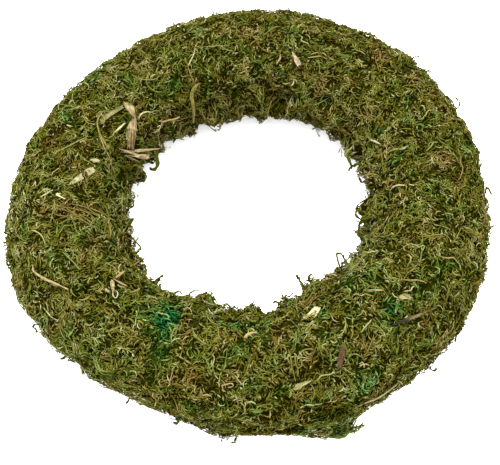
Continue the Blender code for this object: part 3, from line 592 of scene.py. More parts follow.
def fronds(rng, count, branchlets):
    """Feathery fronds: a stem that creeps over the moss, and branchlets that leave it left and right in turn.
    Stems and branchlets are a group each."""
    ring, roll = scattered(rng, count)
    stations = len(STEM_TAPER) + 2
    heading = lie(rng, ring, roll, 0.35)
    curl = rng.normal(0.0, 1.7, count)
    length = rng.uniform(*STEM_LENGTHS, count)
    root = rng.uniform(-0.0006, 0.0008, count)
    arch = rng.uniform(0.0002, 0.0016, count)
    tip_up = rng.exponential(0.0008 + 0.0022 * hole_side(roll)) - 0.0008
    rings, rolls, height = creeping_lines(ring, roll, heading, curl, length, root, arch, tip_up, stations)
    points = on_moss(rings, rolls, height)
    middle = stations // 2
    hue, tone = shoot_colours(rng, points[:, middle], height[:, middle], 0.05, 0.10)
    twist = twists(rng, count, 0.4, 0.8)
    width = rng.uniform(*STEM_WIDTHS, count)
    stems = shoots_along(points, rings, rolls, width, twist, STEM_TAPER, hue, tone, rise=0.16)
    branches = count * branchlets
    which = np.repeat(np.arange(count), branchlets)
    order = np.tile(np.arange(branchlets), count)
    share = 0.10 + 0.80 * (order + rng.uniform(-0.3, 0.3, branches)) / branchlets
    spot = np.clip(share, 0.0, 1.0) * (stations - 1)
    low = np.minimum(spot.astype(int), stations - 2)
    part = spot - low

    def at(values):
        """The values of the stems where their branchlets leave them."""
        return values[which, low] * (1.0 - part) + values[which, low + 1] * part

    side = np.where((order % 2) == 0, 1.0, -1.0)
    branch_heading = heading[which] + curl[which] * share + side * rng.uniform(0.5, 1.2, branches)
    branch_curl = -side * rng.uniform(0.0, 1.3, branches) + rng.normal(0.0, 0.5, branches)
    reach = rng.uniform(*BRANCHLET_LENGTHS, branches) * (1.15 - 0.6 * share)
    branch_arch = rng.uniform(-0.0002, 0.0006, branches)
    branch_tip_up = rng.uniform(-0.0010, 0.0009, branches)
    branch_rings, branch_rolls, branch_height = creeping_lines(
        at(rings), at(rolls), branch_heading, branch_curl, reach, at(height), branch_arch, branch_tip_up,
        len(BRANCHLET_TAPER) + 2,
    )
    branch_points = on_moss(branch_rings, branch_rolls, branch_height)
    branch_twist = twists(rng, branches, 0.5, 0.8)
    branch_width = rng.uniform(*BRANCHLET_WIDTHS, branches)
    branch_hue = hue[which] + rng.normal(0.0, 0.03, branches)
    branch_tone = tone[which] + rng.normal(0.0, 0.12, branches)
    leaves = shoots_along(
        branch_points, branch_rings, branch_rolls, branch_width, branch_twist, BRANCHLET_TAPER, branch_hue,
        branch_tone, rise=0.20,
    )
    return (ring, roll, stems), (ring[which], roll[which], leaves)


LEAF_LENGTHS = (0.0018, 0.0042)
LEAF_HALF_WIDTHS = (0.00035, 0.00065)
# How hue and tone change from a leaf's root to its tip, and at its left and right
LEAF_HUES = np.array([0.0, 0.02, 0.015, -0.015])
LEAF_TONES = np.array([-0.10, 0.14, 0.04, -0.04])


def small_leaves(rng, count):
    """Single small leaves, as a group. Each is a flat tetrahedron with corners at its root and tip and,
    folded up a little, at its left and right."""
    ring, roll = scattered(rng, count)
    heading = lie(rng, ring, roll, 0.6)
    length = rng.uniform(*LEAF_LENGTHS, count)
    lift = rng.uniform(-0.0009, 0.0013, count)
    straight = np.zeros(count)
    tip_up = rng.normal(0.0, 0.0007, count)
    line = on_moss(*creeping_lines(ring, roll, heading, straight, length, lift, straight, tip_up, 3))
    onwards = line[:, 2] - line[:, 0]
    onwards /= np.linalg.norm(onwards, axis=1, keepdims=True)
    beside = np.cross(outwards(ring, roll) + 0.45 * rng.normal(size=(count, 3)), onwards)
    beside /= np.linalg.norm(beside, axis=1, keepdims=True)
    half = rng.uniform(*LEAF_HALF_WIDTHS, (count, 1))
    middle = line[:, 1] + 0.4 * half * np.cross(onwards, beside)
    points = np.stack([line[:, 0], line[:, 2], middle + half * beside, middle - half * beside], axis=1)
    points[..., 2] = np.maximum(points[..., 2], FLOOR_GAP)
    root, tip, left, right = range(4)
    faces = np.array([(root, right, left), (tip, left, right), (root, left, tip), (root, tip, right)])
    faces = (faces[None] + 4 * np.arange(count)[:, None, None]).reshape(-1, 3)
    hue = moss_hue(line[:, 1]) + rng.normal(0.0, 0.08, count)
    # Leaves that lie lower are darker: partly older moss, partly painted shade deep in the moss.
    tone = moss_tone(line[:, 1]) + rng.normal(0.0, 0.20, count) + 130.0 * (lift - 0.0005)
    hues = hue[:, None] + LEAF_HUES
    tones = tone[:, None] + LEAF_TONES
    return ring, roll, (points.reshape(-1, 3), faces, hues.ravel(), tones.ravel())


HOOK_LENGTHS = (0.004, 0.009)
HOOK_WIDTHS = (0.0009, 0.0015)


def hooks(rng, count):
    """Short hooked shoots that stand up, as a group. Most of them are on the side that faces the hole."""
    ring, roll = scattered(rng, count)
    keep = rng.uniform(size=count) < 0.30 + 0.70 * hole_side(roll)
    ring, roll = ring[keep], roll[keep]
    count = len(ring)
    heading = rng.uniform(0.0, 2.0 * math.pi, count)
    curl = rng.uniform(1.0, 4.5, count) * rng.choice((-1.0, 1.0), count)
    length = rng.uniform(*HOOK_LENGTHS, count)
    root = np.full(count, -0.0005)
    arch = rng.uniform(0.0, 0.0012, count)
    tip_up = rng.uniform(0.0012, 0.0042, count)
    stations = 8
    rings, rolls, height = creeping_lines(ring, roll, heading, curl, length, root, arch, tip_up, stations)
    points = on_moss(rings, rolls, height)
    middle = points[:, stations // 2]
    twist = rng.normal(0.0, 0.8, (count, 2))
    knobs = rng.uniform(0.7, 1.25, (count, stations - 2))
    hue = moss_hue(middle) + rng.normal(0.0, 0.07, count)
    tone = moss_tone(middle) + rng.normal(0.02, 0.12, count)
    width = rng.uniform(*HOOK_WIDTHS, count)
    hooked = shoots_along(points, rings, rolls, width, twist, knobs, hue, tone, rise=0.16, deep=1.6)
    return ring, roll, hooked


# Stray curls that stand off the moss, most of them over the hole. Each is a run of knots: (ring angle, roll
# angle, height in mm over the roll). The last number is its width in mm.
STRAY_CURLS = (
    # over the neck of the straw stalk
    (((154.1, 122, 1), (152.1, 122.3, 6.2), (150.8, 124, 8.4), (150.6, 127.8, 8.4), (151.3, 131.2, 1)), 0.8),
    (((149.9, 118.6, 1), (150.2, 123.7, 5.4), (151.2, 128.1, 6), (153.1, 131.6, 0.5)), 0.8),
    (((151.5, 129.8, 2), (150.2, 129.1, 6.5), (149, 130.8, 3)), 0.8),
    # at the left of the hole
    (((148.6, 191.6, -2.2), (146.9, 189.9, -1.5), (146.4, 190.8, 1.3), (147.7, 193.3, 4.4), (150, 196, 6.3),
      (152.3, 197.8, 5.2), (152.5, 197.5, 2.5)), 1.7),
    (((184, 172, -2), (178, -175, 1), (177, -170, 2.2), (180, -171, 2.4), (184, 174, 0)), 1.0),
    (((193, -176, -2), (190, -174, 1.9), (187, -173, 2.4)), 1.0),
    (((196, -179, -1), (204, 178, 3), (209, 175, 3.8), (210, 174, 0)), 1.0),
    (((212, 165, -1), (214, 172, 0.8), (216, 170, 2)), 1.2),
    # at the near side of the hole
    (((231, 154, -2), (229, 162, 1.1), (229, 162, 3.6), (230, 162, 5.7)), 1.3),
    (((241, 146, -1), (239, 158, 0.9), (240, 157, 3), (242, 157, 2)), 0.7),
    (((245, 155, 1.4), (244, 156, 3.1), (243, 156, 1.6), (242, 157, -1)), 0.7),
    (((245, 155, -2), (245, 155, 4.5), (247, 154, 7.1), (249, 154, 7)), 0.7),
    (((259, 153, -1), (260, 153, 2.4), (262, 153, 1.4)), 0.9),
    (((282, 137, -1), (281, 154, 0.6), (279, 154, 1)), 1.0),
    (((283, 139, -1), (284, 154, 1), (285, 154, 3.3), (286, 155, 1.7), (289, 155, 3.1)), 0.7),
    (((293, 156, -3), (293, 155, 5), (293, 155, 8.8), (292, 154, 12.4)), 1.3),
    (((296, 157, -2), (298, 157, 2.6), (297, 156, 5.7), (298, 156, 7.8), (300, 157, 7.9)), 1.5),
    (((298, 157, 2.6), (300, 158, 1.7), (300, 158, -2)), 1.2),
    (((306, 151, -1), (305, 160, 0.8), (304, 159, 2.5)), 0.9),
    # at the right of the hole
    (((314, 150, -2), (319, 166, 1.3), (320, 165, 5.4), (319, 165, 8), (316, 163, 5.3), (314, 163, 0)), 1.1),
    (((315, 164, 0.7), (319, 166, 1.3), (324, 168, 0.6), (325, 168, 3)), 1.0),
    (((314, 150, -1), (318, 165, 0.5), (316, 164, 2.3)), 1.0),
    (((344.8, 145, -4.2), (344.2, 149.9, -0.6), (344.8, 151.4, 2.6), (345.3, 152.2, 4.6),
      (344, 154, 4.8)), 1.2),
    (((345, 155.2, -4), (344, 159.3, -0.1), (342.8, 162.6, 3.9), (343, 163.4, 7.1), (344.5, 162.5, 8.8),
      (346, 160.7, 8.1), (345, 160.7, 5.9)), 1.1),
    (((354.9, 187, 2.4), (356.6, 185, 5), (357.8, 183.9, 6.7)), 0.8),
    (((344.7, 166.1, -1.9), (343.5, 168.9, 2.5), (343.4, 169.7, 5.5), (343.2, 170.2, 7.6)), 0.8),
    (((345, 165.4, -1.6), (344, 167.7, 1.6), (342.4, 170, 3.3), (339.8, 172.9, 2.9), (337.7, 175.3, 0.9),
      (336.6, 176.7, -1.4), (337.5, 175.6, -3.2), (339.1, 173.4, -3), (339.6, 172.8, -0.1)), 1),
    (((354.2, 193.5, 0.1), (351.8, 197.1, -1), (349.9, 200.5, -2.7), (348, 203.7, -3.2)), 1.1),
    (((345.8, 159, -2.3), (344.3, 162.3, -0.3), (342.5, 165.1, 0.5), (340.8, 167.1, 0.1)), 1),
    (((347.9, 162, -1.4), (346.3, 165.4, 1.3), (345.1, 167.7, 3.8)), 1.2),
    (((14, -173, -1), (17, -165, 1.2), (18, -171, 1.5)), 1.0),
    (((17.6, 171.7, 0.5), (19.9, 171.3, 4.1), (20.2, 173.3, 7.2), (22.8, 171.3, 8.8), (25.3, 169.2, 9.7),
      (25.9, 167.2, 8.4), (25.3, 165.7, 6.1)), 1.4),
    (((20.2, 173.3, 7.2), (19.5, 174.5, 8.5), (18.4, 176, 10)), 1.1),
    # round the outside
    (((193, 10, -2), (193, 10, 1.4), (193, 9, 2.8)), 1.2),
    (((190, 12, -2), (190, 12, 0.8), (191, 12, 1.6)), 1.0),
    (((216, 10, -1), (214, -5, 0.6), (214, -5, 4.3), (215, -5, 3.4), (216, -5, 4.5)), 0.9),
    (((224, -10, -2), (224, -10, 2.4), (224, -9, 4)), 1.0),
    (((242, -16, -2), (242, -15, 0.8), (242, -15, 2)), 1.0),
    (((254, -10, -1), (254, -18, 0.6), (253, -18, 1.4)), 1.2),
    (((267, -19, -2), (267, -19, 3), (266, -19, 4.6)), 0.9),
    (((24, 30, -2), (24, 31, 4), (26, 31, 5.1), (27, 32, 5.2)), 0.9),
    (((359, 19, -1), (1, 17, 0.4), (1, 17, 1.6), (0, 16, 1.8), (359, 16, 3.1)), 1.2),
    (((43, 38, 0), (42, 38, 4.9), (41, 38, 6.7)), 0.7),
    (((37, 36, -1), (37, 36, 3.2), (36, 36, 4.1)), 0.8),
    (((313, -9, 0), (313, -8, 3.5), (314, -8, 4)), 0.9),
)

# A thin dry stalk that stands off the moss between the straw and the hanging stem
DRY_STALKS = (
    (((138.6, 154, 0), (136.7, 156.5, 2.3), (134.4, 158.1, 4), (131.8, 159, 5.2), (129, 159.4, 5.8)), 0.8),
)


def smooth_line(knots, stations):
    """A Catmull-Rom curve through knots: between knots 1 and 2 of four, with u from 0 to 1, it is half of
    2 k1 + (k2 - k0) u + (2 k0 - 5 k1 + 4 k2 - k3) u^2 + (3 k1 - k0 - 3 k2 + k3) u^3."""
    knots = np.asarray(knots, dtype=float)
    padded = np.concatenate([2 * knots[:1] - knots[1:2], knots, 2 * knots[-1:] - knots[-2:-1]])
    place = np.linspace(0.0, len(knots) - 1.0, stations)
    first = np.minimum(place.astype(int), len(knots) - 2)
    u = (place - first)[:, None]
    k0, k1, k2, k3 = (padded[first + step] for step in range(4))
    return 0.5 * (
        2 * k1 + (k2 - k0) * u + (2 * k0 - 5 * k1 + 4 * k2 - k3) * u**2 + (3 * k1 - k0 - 3 * k2 + k3) * u**3
    )


def strands_through(rng, lines, width, hue, tone, wander, knobby, deep):
    """Single strands through runs of (ring angle, roll angle, radius), as a group of shoots, knobbly along
    them. Each wanders off its line by about its own distance."""
    stations = 15
    points, rings, rolls = [], [], []
    for (ring, roll, radius), away in zip(lines, wander):
        aside = smooth_line(rng.normal(0.0, away, (7, 3)), stations)
        points.append(smooth_line(on_roll(ring, roll, radius), stations) + aside)
        knots = np.linspace(0.0, 1.0, len(ring))
        rings.append(np.interp(np.linspace(0.0, 1.0, stations), knots, ring))
        rolls.append(np.interp(np.linspace(0.0, 1.0, stations), knots, roll))
    points, rings, rolls = np.array(points), np.array(rings), np.array(rolls)
    points[..., 2] = np.maximum(points[..., 2], FLOOR_GAP)
    count = len(lines)
    knobs = 1.0 + knobby * rng.uniform(-1.0, 1.0, (count, stations - 2))
    untwisted = np.zeros((count, 2))
    group = shoots_along(points, rings, rolls, width, untwisted, knobs, hue, tone, rise=0.04, deep=deep)
    return rings[:, 0] % (2.0 * math.pi), rolls[:, 0], group


# The bright table behind would hide the strands that stand off the moss, so they are drawn wider than they
# are.
STRAY_WIDER = 1.5


def stray_curls(rng, curls, hue, tone):
    """Strands that stand off the moss, as a group."""
    lines = []
    for knots, _ in curls:
        ring, roll, height = np.array(knots, dtype=float).T
        ring, roll = np.unwrap(np.radians(ring)), np.unwrap(np.radians(roll))
        lines.append((ring, roll, roll_radius(ring) + height / 1000.0))
    count = len(lines)
    width = STRAY_WIDER * np.array([width for _, width in curls]) / 1000.0
    hues, tones = rng.normal(hue, 0.08, count), rng.normal(tone, 0.06, count)
    wander = np.full(count, 0.0002)
    return strands_through(rng, lines, width, hues, tones, wander, knobby=0.35, deep=1.7)


def flap_fringe(rng, count):
    """The leaf green fringe at the right end of the right flap, as a group. Each shoot starts on the flap and
    runs past its end."""
    rings = rng.uniform(286.5, 291.0, count)
    rolls = rng.uniform(-48.0, -26.0, count)
    reaches = rng.uniform(3.0, 5.2, count)
    curls = []
    for ring, roll, reach in zip(rings, rolls, reaches):
        bend, turn = rng.normal(0.0, 3.4, 2)
        middle = (ring + 0.5 * reach, roll + bend, 8.4)
        tip = (ring + reach, roll + turn, rng.uniform(4.5, 8.5))
        curls.append((((ring, roll, 6.0), middle, tip), rng.uniform(0.45, 0.8)))
    return stray_curls(rng, curls, hue=0.52, tone=0.60)


# Strands that catch the eye on top of the moss. Each kind has (hue, tone, width in mm, how far it wanders in
# mm, its strands), and each strand is a run of knots (ring angle, roll angle).
LAID_STRANDS = (
    # flat pale straws
    (0.12, 0.97, 1.3, 0.1, (
        ((354, 134), (354, 127), (354, 118)), ((28.6, 152), (23.8, 147), (17.9, 137.3)),
    )),
    # pale straws
    (0.12, 0.95, 0.9, 0.3, (
        ((354, 115), (353, 110)), ((315, 102), (314, 96)),
        ((78, 132), (76, 136)), ((284, 104), (286, 104)),
        ((227, 97), (228, 95), (229, 95), (228, 99), (227, 100)), ((226, 105), (229, 110)),
        ((109, 98), (112, 110), (116, 120)), ((310, 65), (312, 63)),
    )),
    # pink and tan stems
    (0.02, 0.82, 0.8, 0.3, (
        ((182.3, 81), (181, 84), (178.9, 88)), ((82, 146), (80, 143)), ((223, 109), (223, 114), (224, 114)),
        ((317, 90), (320, 80), (322, 69)),
        ((315, 81), (317, 77), (319, 76)), ((321, 52), (320, 50)), ((295, 44), (296, 38)),
        ((295, 53), (296, 53), (297, 48)), ((295, 52), (296, 51), (296, 48)),
    )),
    # thin tan stalks
    (0.1, 0.76, 0.8, 0.5, (
        ((132.5, 164.3), (128.1, 173.8), (124.7, 177.4), (122.2, 177.8)),
        ((162.4, 113.7), (166.4, 122.4), (171, 131.7), (173.5, 143.4), (175.9, 151.5)),
        ((173, 126), (175, 133), (175, 140)), ((253, 68), (252, 60), (252, 52), (252, 42)),
        ((251, 74), (254, 69), (256, 67)), ((114, 90), (114, 98), (112, 98)), ((130, 76), (133, 85)),
        ((68, 116), (65, 110), (61, 111)), ((68, 120), (64, 114), (61, 114)), ((23, 120), (19, 117)),
        ((318, 88), (322, 87), (325, 85)), ((330, 76), (331, 66), (332, 57), (331, 48)),
        ((267, 70), (267, 63), (268, 55)), ((264, 48), (264, 53), (265, 56), (266, 55), (265, 51)),
        ((80, 156), (78, 153), (76, 156)), ((81, 162), (78, 159), (76, 162)),
        ((108, 104), (104, 107), (99, 110)), ((165, 119), (164, 122), (163, 126)),
        ((166, 121), (165, 124), (164, 128)), ((168, 122), (166, 125), (166, 130)),
        ((169, 124), (167, 127), (167, 131)),
    )),
    # light green shoots
    (0.44, 0.8, 0.9, 0.6, (
        ((175, 77), (173, 85), (172, 93), (168, 100), (164, 106)),
        ((162, 126), (161, 127), (157, 128), (156, 130)), ((220, 85), (220, 90), (221, 95)),
        ((229, 90), (231, 90), (232, 88)), ((236, 94), (238, 87), (238, 78)),
        ((241, 105), (243, 107), (246, 106)), ((89, 118), (86, 127)), ((97, 89), (97, 104)),
        ((73, 141), (70, 147), (68, 150)), ((73, 97), (71, 104), (68, 109)),
        ((11, 138), (11, 125), (10, 116), (10, 108)), ((6, 96), (9, 90), (10, 82)),
        ((329, 99), (329, 92), (330, 87)), ((326, 95), (326, 87)), ((297, 82), (298, 87), (300, 87)),
        ((298, 75), (301, 78), (303, 80)), ((304, 71), (305, 65), (306, 64)),
        ((284, 53), (286, 54), (288, 55), (289, 56)), ((280, 32), (283, 32), (285, 30)),
        ((261, 76), (261, 69), (262, 63), (263, 58)), ((260, 81), (261, 73), (260, 65)),
        ((262, 70), (263, 63), (263, 56)), ((279, 82), (279, 75), (280, 70)),
    )),
    # greener shoots
    (0.5, 0.64, 0.9, 0.5, (
        ((208, 80), (211, 83), (215, 86), (216, 86)), ((208, 85), (211, 88), (214, 90)),
        ((199, 105), (200, 94), (200, 86), (203, 80)), ((201, 102), (201, 92), (202, 86), (205, 80)),
        ((232, 26), (235, 21), (238, 18)), ((233, 32), (236, 27), (238, 26)),
        ((232, 32), (234, 25), (236, 18)), ((140, 141), (138, 150)), ((141, 143), (139, 152)),
    )),
    # brown fibres
    (0.08, 0.54, 0.9, 0.6, (
        ((196, 124), (197, 135), (196, 144)), ((194, 89), (196, 98), (198, 104), (200, 110)),
        ((49, 78), (46, 89), (43, 94)), ((48, 71), (46, 83), (43, 88)), ((46, 71), (45, 84), (44, 92)),
        ((49.3, 72), (47, 79), (45.8, 84)), ((43.5, 72), (43.6, 79), (44.4, 86)),
        ((35.3, 142), (32.3, 137), (31.9, 129.9)),
        ((7, 102), (5, 94), (4, 85), (4, 76)), ((6, 99), (4, 91), (3, 80)),
        ((7, 66), (4, 65), (0, 65), (356, 68)), ((254, 41), (256, 50), (256, 60), (258, 68)),
        ((256, 40), (256, 50), (258, 62)), ((254, 46), (255, 53), (256, 62)),
        ((260, 115), (261, 101), (262, 90)), ((273, 81), (273, 75), (274, 70)),
    )),
    # a combed bundle of olive brown fibres at the left
    (0.18, 0.56, 0.8, 0.4, (
        ((192.2, 82), (194.3, 92), (195.4, 104), (197.6, 116), (201.2, 125)),
        ((195.3, 83), (197.2, 93), (199.4, 105), (202.4, 117), (204.5, 128)),
        ((193.6, 93), (197.2, 104), (200.5, 112), (203.9, 121)),
        ((193.1, 100), (195, 111), (197.1, 122), (200.8, 132), (203.2, 141)),
        ((197.9, 87), (198.2, 98), (198.5, 111), (199.7, 123)),
        ((193.9, 118), (197.6, 124), (198.3, 135), (197.2, 151)),
        ((194.4, 70), (193.7, 80), (193, 89)),
        ((196.2, 96), (198.6, 108), (201, 119), (202.6, 127)),
        ((194.2, 104), (195.8, 114), (199.2, 124), (201.4, 133)),
    )),
    # olive bundles
    (0.24, 0.58, 0.9, 0.5, (
        ((280, 82), (280, 72), (280, 62), (280, 54)), ((281, 79), (281, 69), (281, 61), (281, 55)),
        ((282, 77), (282, 69), (281, 62)),
    )),
    # a dry pod
    (0.12, 0.78, 2.2, 0.3, (
        ((268, 96), (270, 100), (272, 103)), ((225, 92), (226, 95)),
    )),
)


# How high a strand lies over the moss in its middle, and how much lower at its ends
STRAND_HEIGHT = 0.0016
END_DIP = 0.0010


def laid_strands(rng):
    """The strands on top of the moss, as a group. Their ends dip into it."""
    lines, widths, wanders, hues, tones = [], [], [], [], []
    for hue, tone, width, wander, strands in LAID_STRANDS:
        for knots in strands:
            ring, roll = np.radians(np.array(knots, dtype=float)).T
            share = np.linspace(-1.0, 1.0, len(ring))
            lines.append((ring, roll, moss_radius(ring, roll) + STRAND_HEIGHT - END_DIP * share**4))
            widths.append(width / 1000.0)
            wanders.append(wander / 1000.0)
            hues.append(hue)
            tones.append(tone)
    count = len(lines)
    hues = np.array(hues) + rng.normal(0.0, 0.03, count)
    tones = np.array(tones) + rng.normal(0.0, 0.04, count)
    return strands_through(rng, lines, np.array(widths), hues, tones, wanders, knobby=0.25, deep=1.2)


rng = np.random.default_rng(5)
groups = [
    *fronds(rng, 3300, branchlets=8),
    # short curled shoots
    single_shoots(
        rng, 10500, length=(0.004, 0.009), width=(0.0006, 0.0011), arch=(0.0002, 0.0014),
        tip=(-0.0008, 0.0007), curl=(0.3, 4.0), lift=(-0.0008, 0.0009), widths=(0.9, 1.0, 0.6),
        tone_step=0.20, hue_step=0.10, rise=0.26,
    ),
    # long bare stems
    single_shoots(
        rng, 300, length=(0.012, 0.026), width=(0.0006, 0.0010), arch=(0.0004, 0.0014),
        tip=(-0.0006, 0.0006), curl=(0.6, 3.4), lift=(0.0, 0.0010),
        widths=(0.8, 1.1, 0.8, 1.1, 0.8, 1.0, 0.6), tone_step=0.10, hue_step=0.08, rise=0.08,
    ),
    small_leaves(rng, 58000),
    hooks(rng, 1500),
    stray_curls(rng, STRAY_CURLS, hue=0.44, tone=0.31),
    stray_curls(rng, DRY_STALKS, hue=0.10, tone=0.80),
    laid_strands(rng),
    flap_fringe(rng, 34),
]
moss = moss_finish()


def moss_mesh(name, points, triangles, quads, end_faces, hue, tone):
    """An object with a mesh of felt and shoots, and with hue and tone as its OFBake map."""
    sizes = [np.full(len(triangles), 3), np.full(len(quads), 4), [len(face) for face in end_faces]]
    sizes = np.concatenate(sizes).astype(np.int32)
    corners = [triangles.ravel(), quads.ravel(), [corner for face in end_faces for corner in face]]
    corners = np.concatenate(corners).astype(np.int32)
    starts = np.concatenate([[0], np.cumsum(sizes)[:-1]]).astype(np.int32)
    mesh = bpy.data.meshes.new(name)
    mesh.vertices.add(len(points))
    mesh.vertices.foreach_set("co", points.astype(np.float32).ravel())
    mesh.loops.add(len(corners))
    mesh.loops.foreach_set("vertex_index", corners)
    mesh.polygons.add(len(sizes))
    mesh.polygons.foreach_set("loop_start", starts)
    mesh.update(calc_edges=True)
    place = mesh.uv_layers.new(name="OFBake")
    spots = np.clip(np.stack([hue, tone], axis=1), 0.01, 0.99)
    place.data.foreach_set("uv", spots[corners].astype(np.float32).ravel())
    mesh.shade_smooth()
    mesh.materials.append(moss)
    piece = bpy.data.objects.new(name, mesh)
    bpy.context.scene.collection.objects.link(piece)
    return piece


def handful_of(ring, roll):
    """The number of the handful that a place belongs to."""
    number = ring / (2.0 * math.pi / HANDFULS) - (roll + math.pi / 2.0) / (2.0 * math.pi)
    return np.floor(number).astype(int) % HANDFULS


# All shoots of a group have as many points and the same faces as its first one.
sorted_groups = []
for ring, roll, (points, triangles, hue, tone) in groups:
    size = len(points) // len(ring)
    faces_of_one = triangles[: len(triangles) // len(ring)]
    sorted_groups.append((handful_of(ring, roll), size, faces_of_one, points, hue, tone))

for number in range(HANDFULS):
    felt_points, quads, end_faces, felt_hue, felt_tone = felt_of(number)
    all_points, all_triangles, all_hues, all_tones = [felt_points], [], [felt_hue], [felt_tone]
    first = len(felt_points)
    for home, size, faces_of_one, points, hue, tone in sorted_groups:
        mine = np.flatnonzero(home == number)
        rows = (mine[:, None] * size + np.arange(size)).ravel()
        triangles = faces_of_one + size * np.arange(len(mine))[:, None, None]
        all_points.append(points[rows])
        all_triangles.append(triangles.reshape(-1, 3) + first)
        all_hues.append(hue[rows])
        all_tones.append(tone[rows])
        first += len(rows)
    handful = moss_mesh(
        f"moss_handful_{number + 1:02d}", np.concatenate(all_points), np.concatenate(all_triangles), quads,
        end_faces, np.concatenate(all_hues), np.concatenate(all_tones),
    )
    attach(handful, "root")
    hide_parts(f"moss_pad_{number + 1:02d}")

# The binding wire.
# Thin wire with green lacquer, wound round the roll once at each handful. The moss has closed over it.
WIRE_RADIUS = 0.0277
WIRE_THICKNESS = 0.0011
WIRE_STATIONS = 24
WIRE_SIDES = 6


steps = np.arange(HANDFULS * WIRE_STATIONS)
wire_roll = -math.pi / 2.0 + steps * 2.0 * math.pi / WIRE_STATIONS
wire_ring = seam(0, wire_roll)
wire_line = on_roll(wire_ring, wire_roll, WIRE_RADIUS)
wire_out = (wire_line - on_roll(wire_ring, wire_roll, 0.0)) / WIRE_RADIUS
wire_onwards = np.roll(wire_line, -1, axis=0) - np.roll(wire_line, 1, axis=0)
wire_beside = np.cross(wire_onwards / np.linalg.norm(wire_onwards, axis=1, keepdims=True), wire_out)
around = np.linspace(0.0, 2.0 * math.pi, WIRE_SIDES, endpoint=False)[None, :, None]
wire_grid = wire_line[:, None] + WIRE_THICKNESS / 2.0 * (
    np.cos(around) * wire_out[:, None] + np.sin(around) * wire_beside[:, None]
)
index = np.arange(len(steps) * WIRE_SIDES).reshape(len(steps), WIRE_SIDES)
ahead, beyond = np.roll(index, -1, axis=0), np.roll(index, -1, axis=1)
wire_faces = np.stack([index, ahead, np.roll(ahead, -1, axis=1), beyond], axis=-1).reshape(-1, 4)
wire_mesh = bpy.data.meshes.new("binding_wire_laid")
wire_mesh.from_pydata(wire_grid.reshape(-1, 3).tolist(), [], wire_faces.tolist())
wire_mesh.shade_smooth()
wire_mesh.materials.append(
    streaked_finish("wire_lacquer", (0.015, 0.03, 0.012), (0.03, 0.06, 0.02), 0.4, (500, 500, 500))
)
wire = bpy.data.objects.new("binding_wire_laid", wire_mesh)
bpy.context.scene.collection.objects.link(wire)
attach(wire, "root")
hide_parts("binding_wire")

# Bits of straw, wood, bark and grass that came with the moss.
# All of them lie loose in the moss, held by its curls. Each is built along a smooth line through knots
# (ring angle, roll angle, height in mm), and lies where its solid lies, a little higher, on the drawn moss.
RAISED = 0.0014
SHARP_EDGE = math.radians(44.0)
# Where painted shade in the gaps between fibres, the fibres and painted highlights on their edges lie on a
# ramp over noise
FIBRE_STEPS = (0.30, 0.50, 0.68)


def fibre_finish(name, tones, roughness, along, across, bump=0.35, far_tones=None, change=(0.0, 1.0)):
    """Fibres: noise on the piece's own grain map, with so many features per metre along it and across it,
    through a ramp of three tones, and the same noise as relief. Where the piece changes colour along its
    length, far_tones take over between the two places of change, in metres from its root."""
    material, nodes, links, shader = plain_finish(name, roughness)
    place = nodes.new("ShaderNodeUVMap")
    place.uv_map = "grain"
    noise = streaks(nodes, links, place.outputs["UV"], (along, across, 1.0), 4.0, 0.65)
    colour = ramp_of(nodes, links, noise, tuple(zip(FIBRE_STEPS, tones)))
    if far_tones:
        split = nodes.new("ShaderNodeSeparateXYZ")
        links.new(place.outputs["UV"], split.inputs["Vector"])
        far_colour = ramp_of(nodes, links, noise, tuple(zip(FIBRE_STEPS, far_tones)))
        colour = turn_into(nodes, links, split.outputs["X"], change, colour, far_colour)
    links.new(colour, shader.inputs["Base Color"])
    add_relief(nodes, links, shader, noise, bump, 0.0003)
    shader.inputs["Specular IOR Level"].default_value = 0.05
    return material


def ripple(seed, place, size):
    """Seeded soft noise of about -1 to 1 along one coordinate, with ripples of about the given size."""
    rng = np.random.default_rng(seed)
    lengths = size * rng.uniform(0.6, 1.7, 6)
    starts = rng.uniform(0.0, 2.0 * math.pi, 6)
    return np.sin(np.asarray(place)[..., None] / lengths * 2.0 * math.pi + starts).sum(axis=-1) / 2.4


def eased(values, u):
    """A run of values at equal steps from 0 to 1, eased between them by a cosine."""
    place = np.clip(u, 0.0, 1.0) * (len(values) - 1)
    low = np.minimum(place.astype(int), len(values) - 2)
    ease = (1.0 - np.cos(math.pi * (place - low))) / 2.0
    values = np.asarray(values, dtype=float)
    return values[low] * (1.0 - ease) + values[low + 1] * ease


def power_of(wave, exponent):
    """A sine or cosine raised to a power, with its sign kept."""
    return np.sign(wave) * np.abs(wave) ** exponent


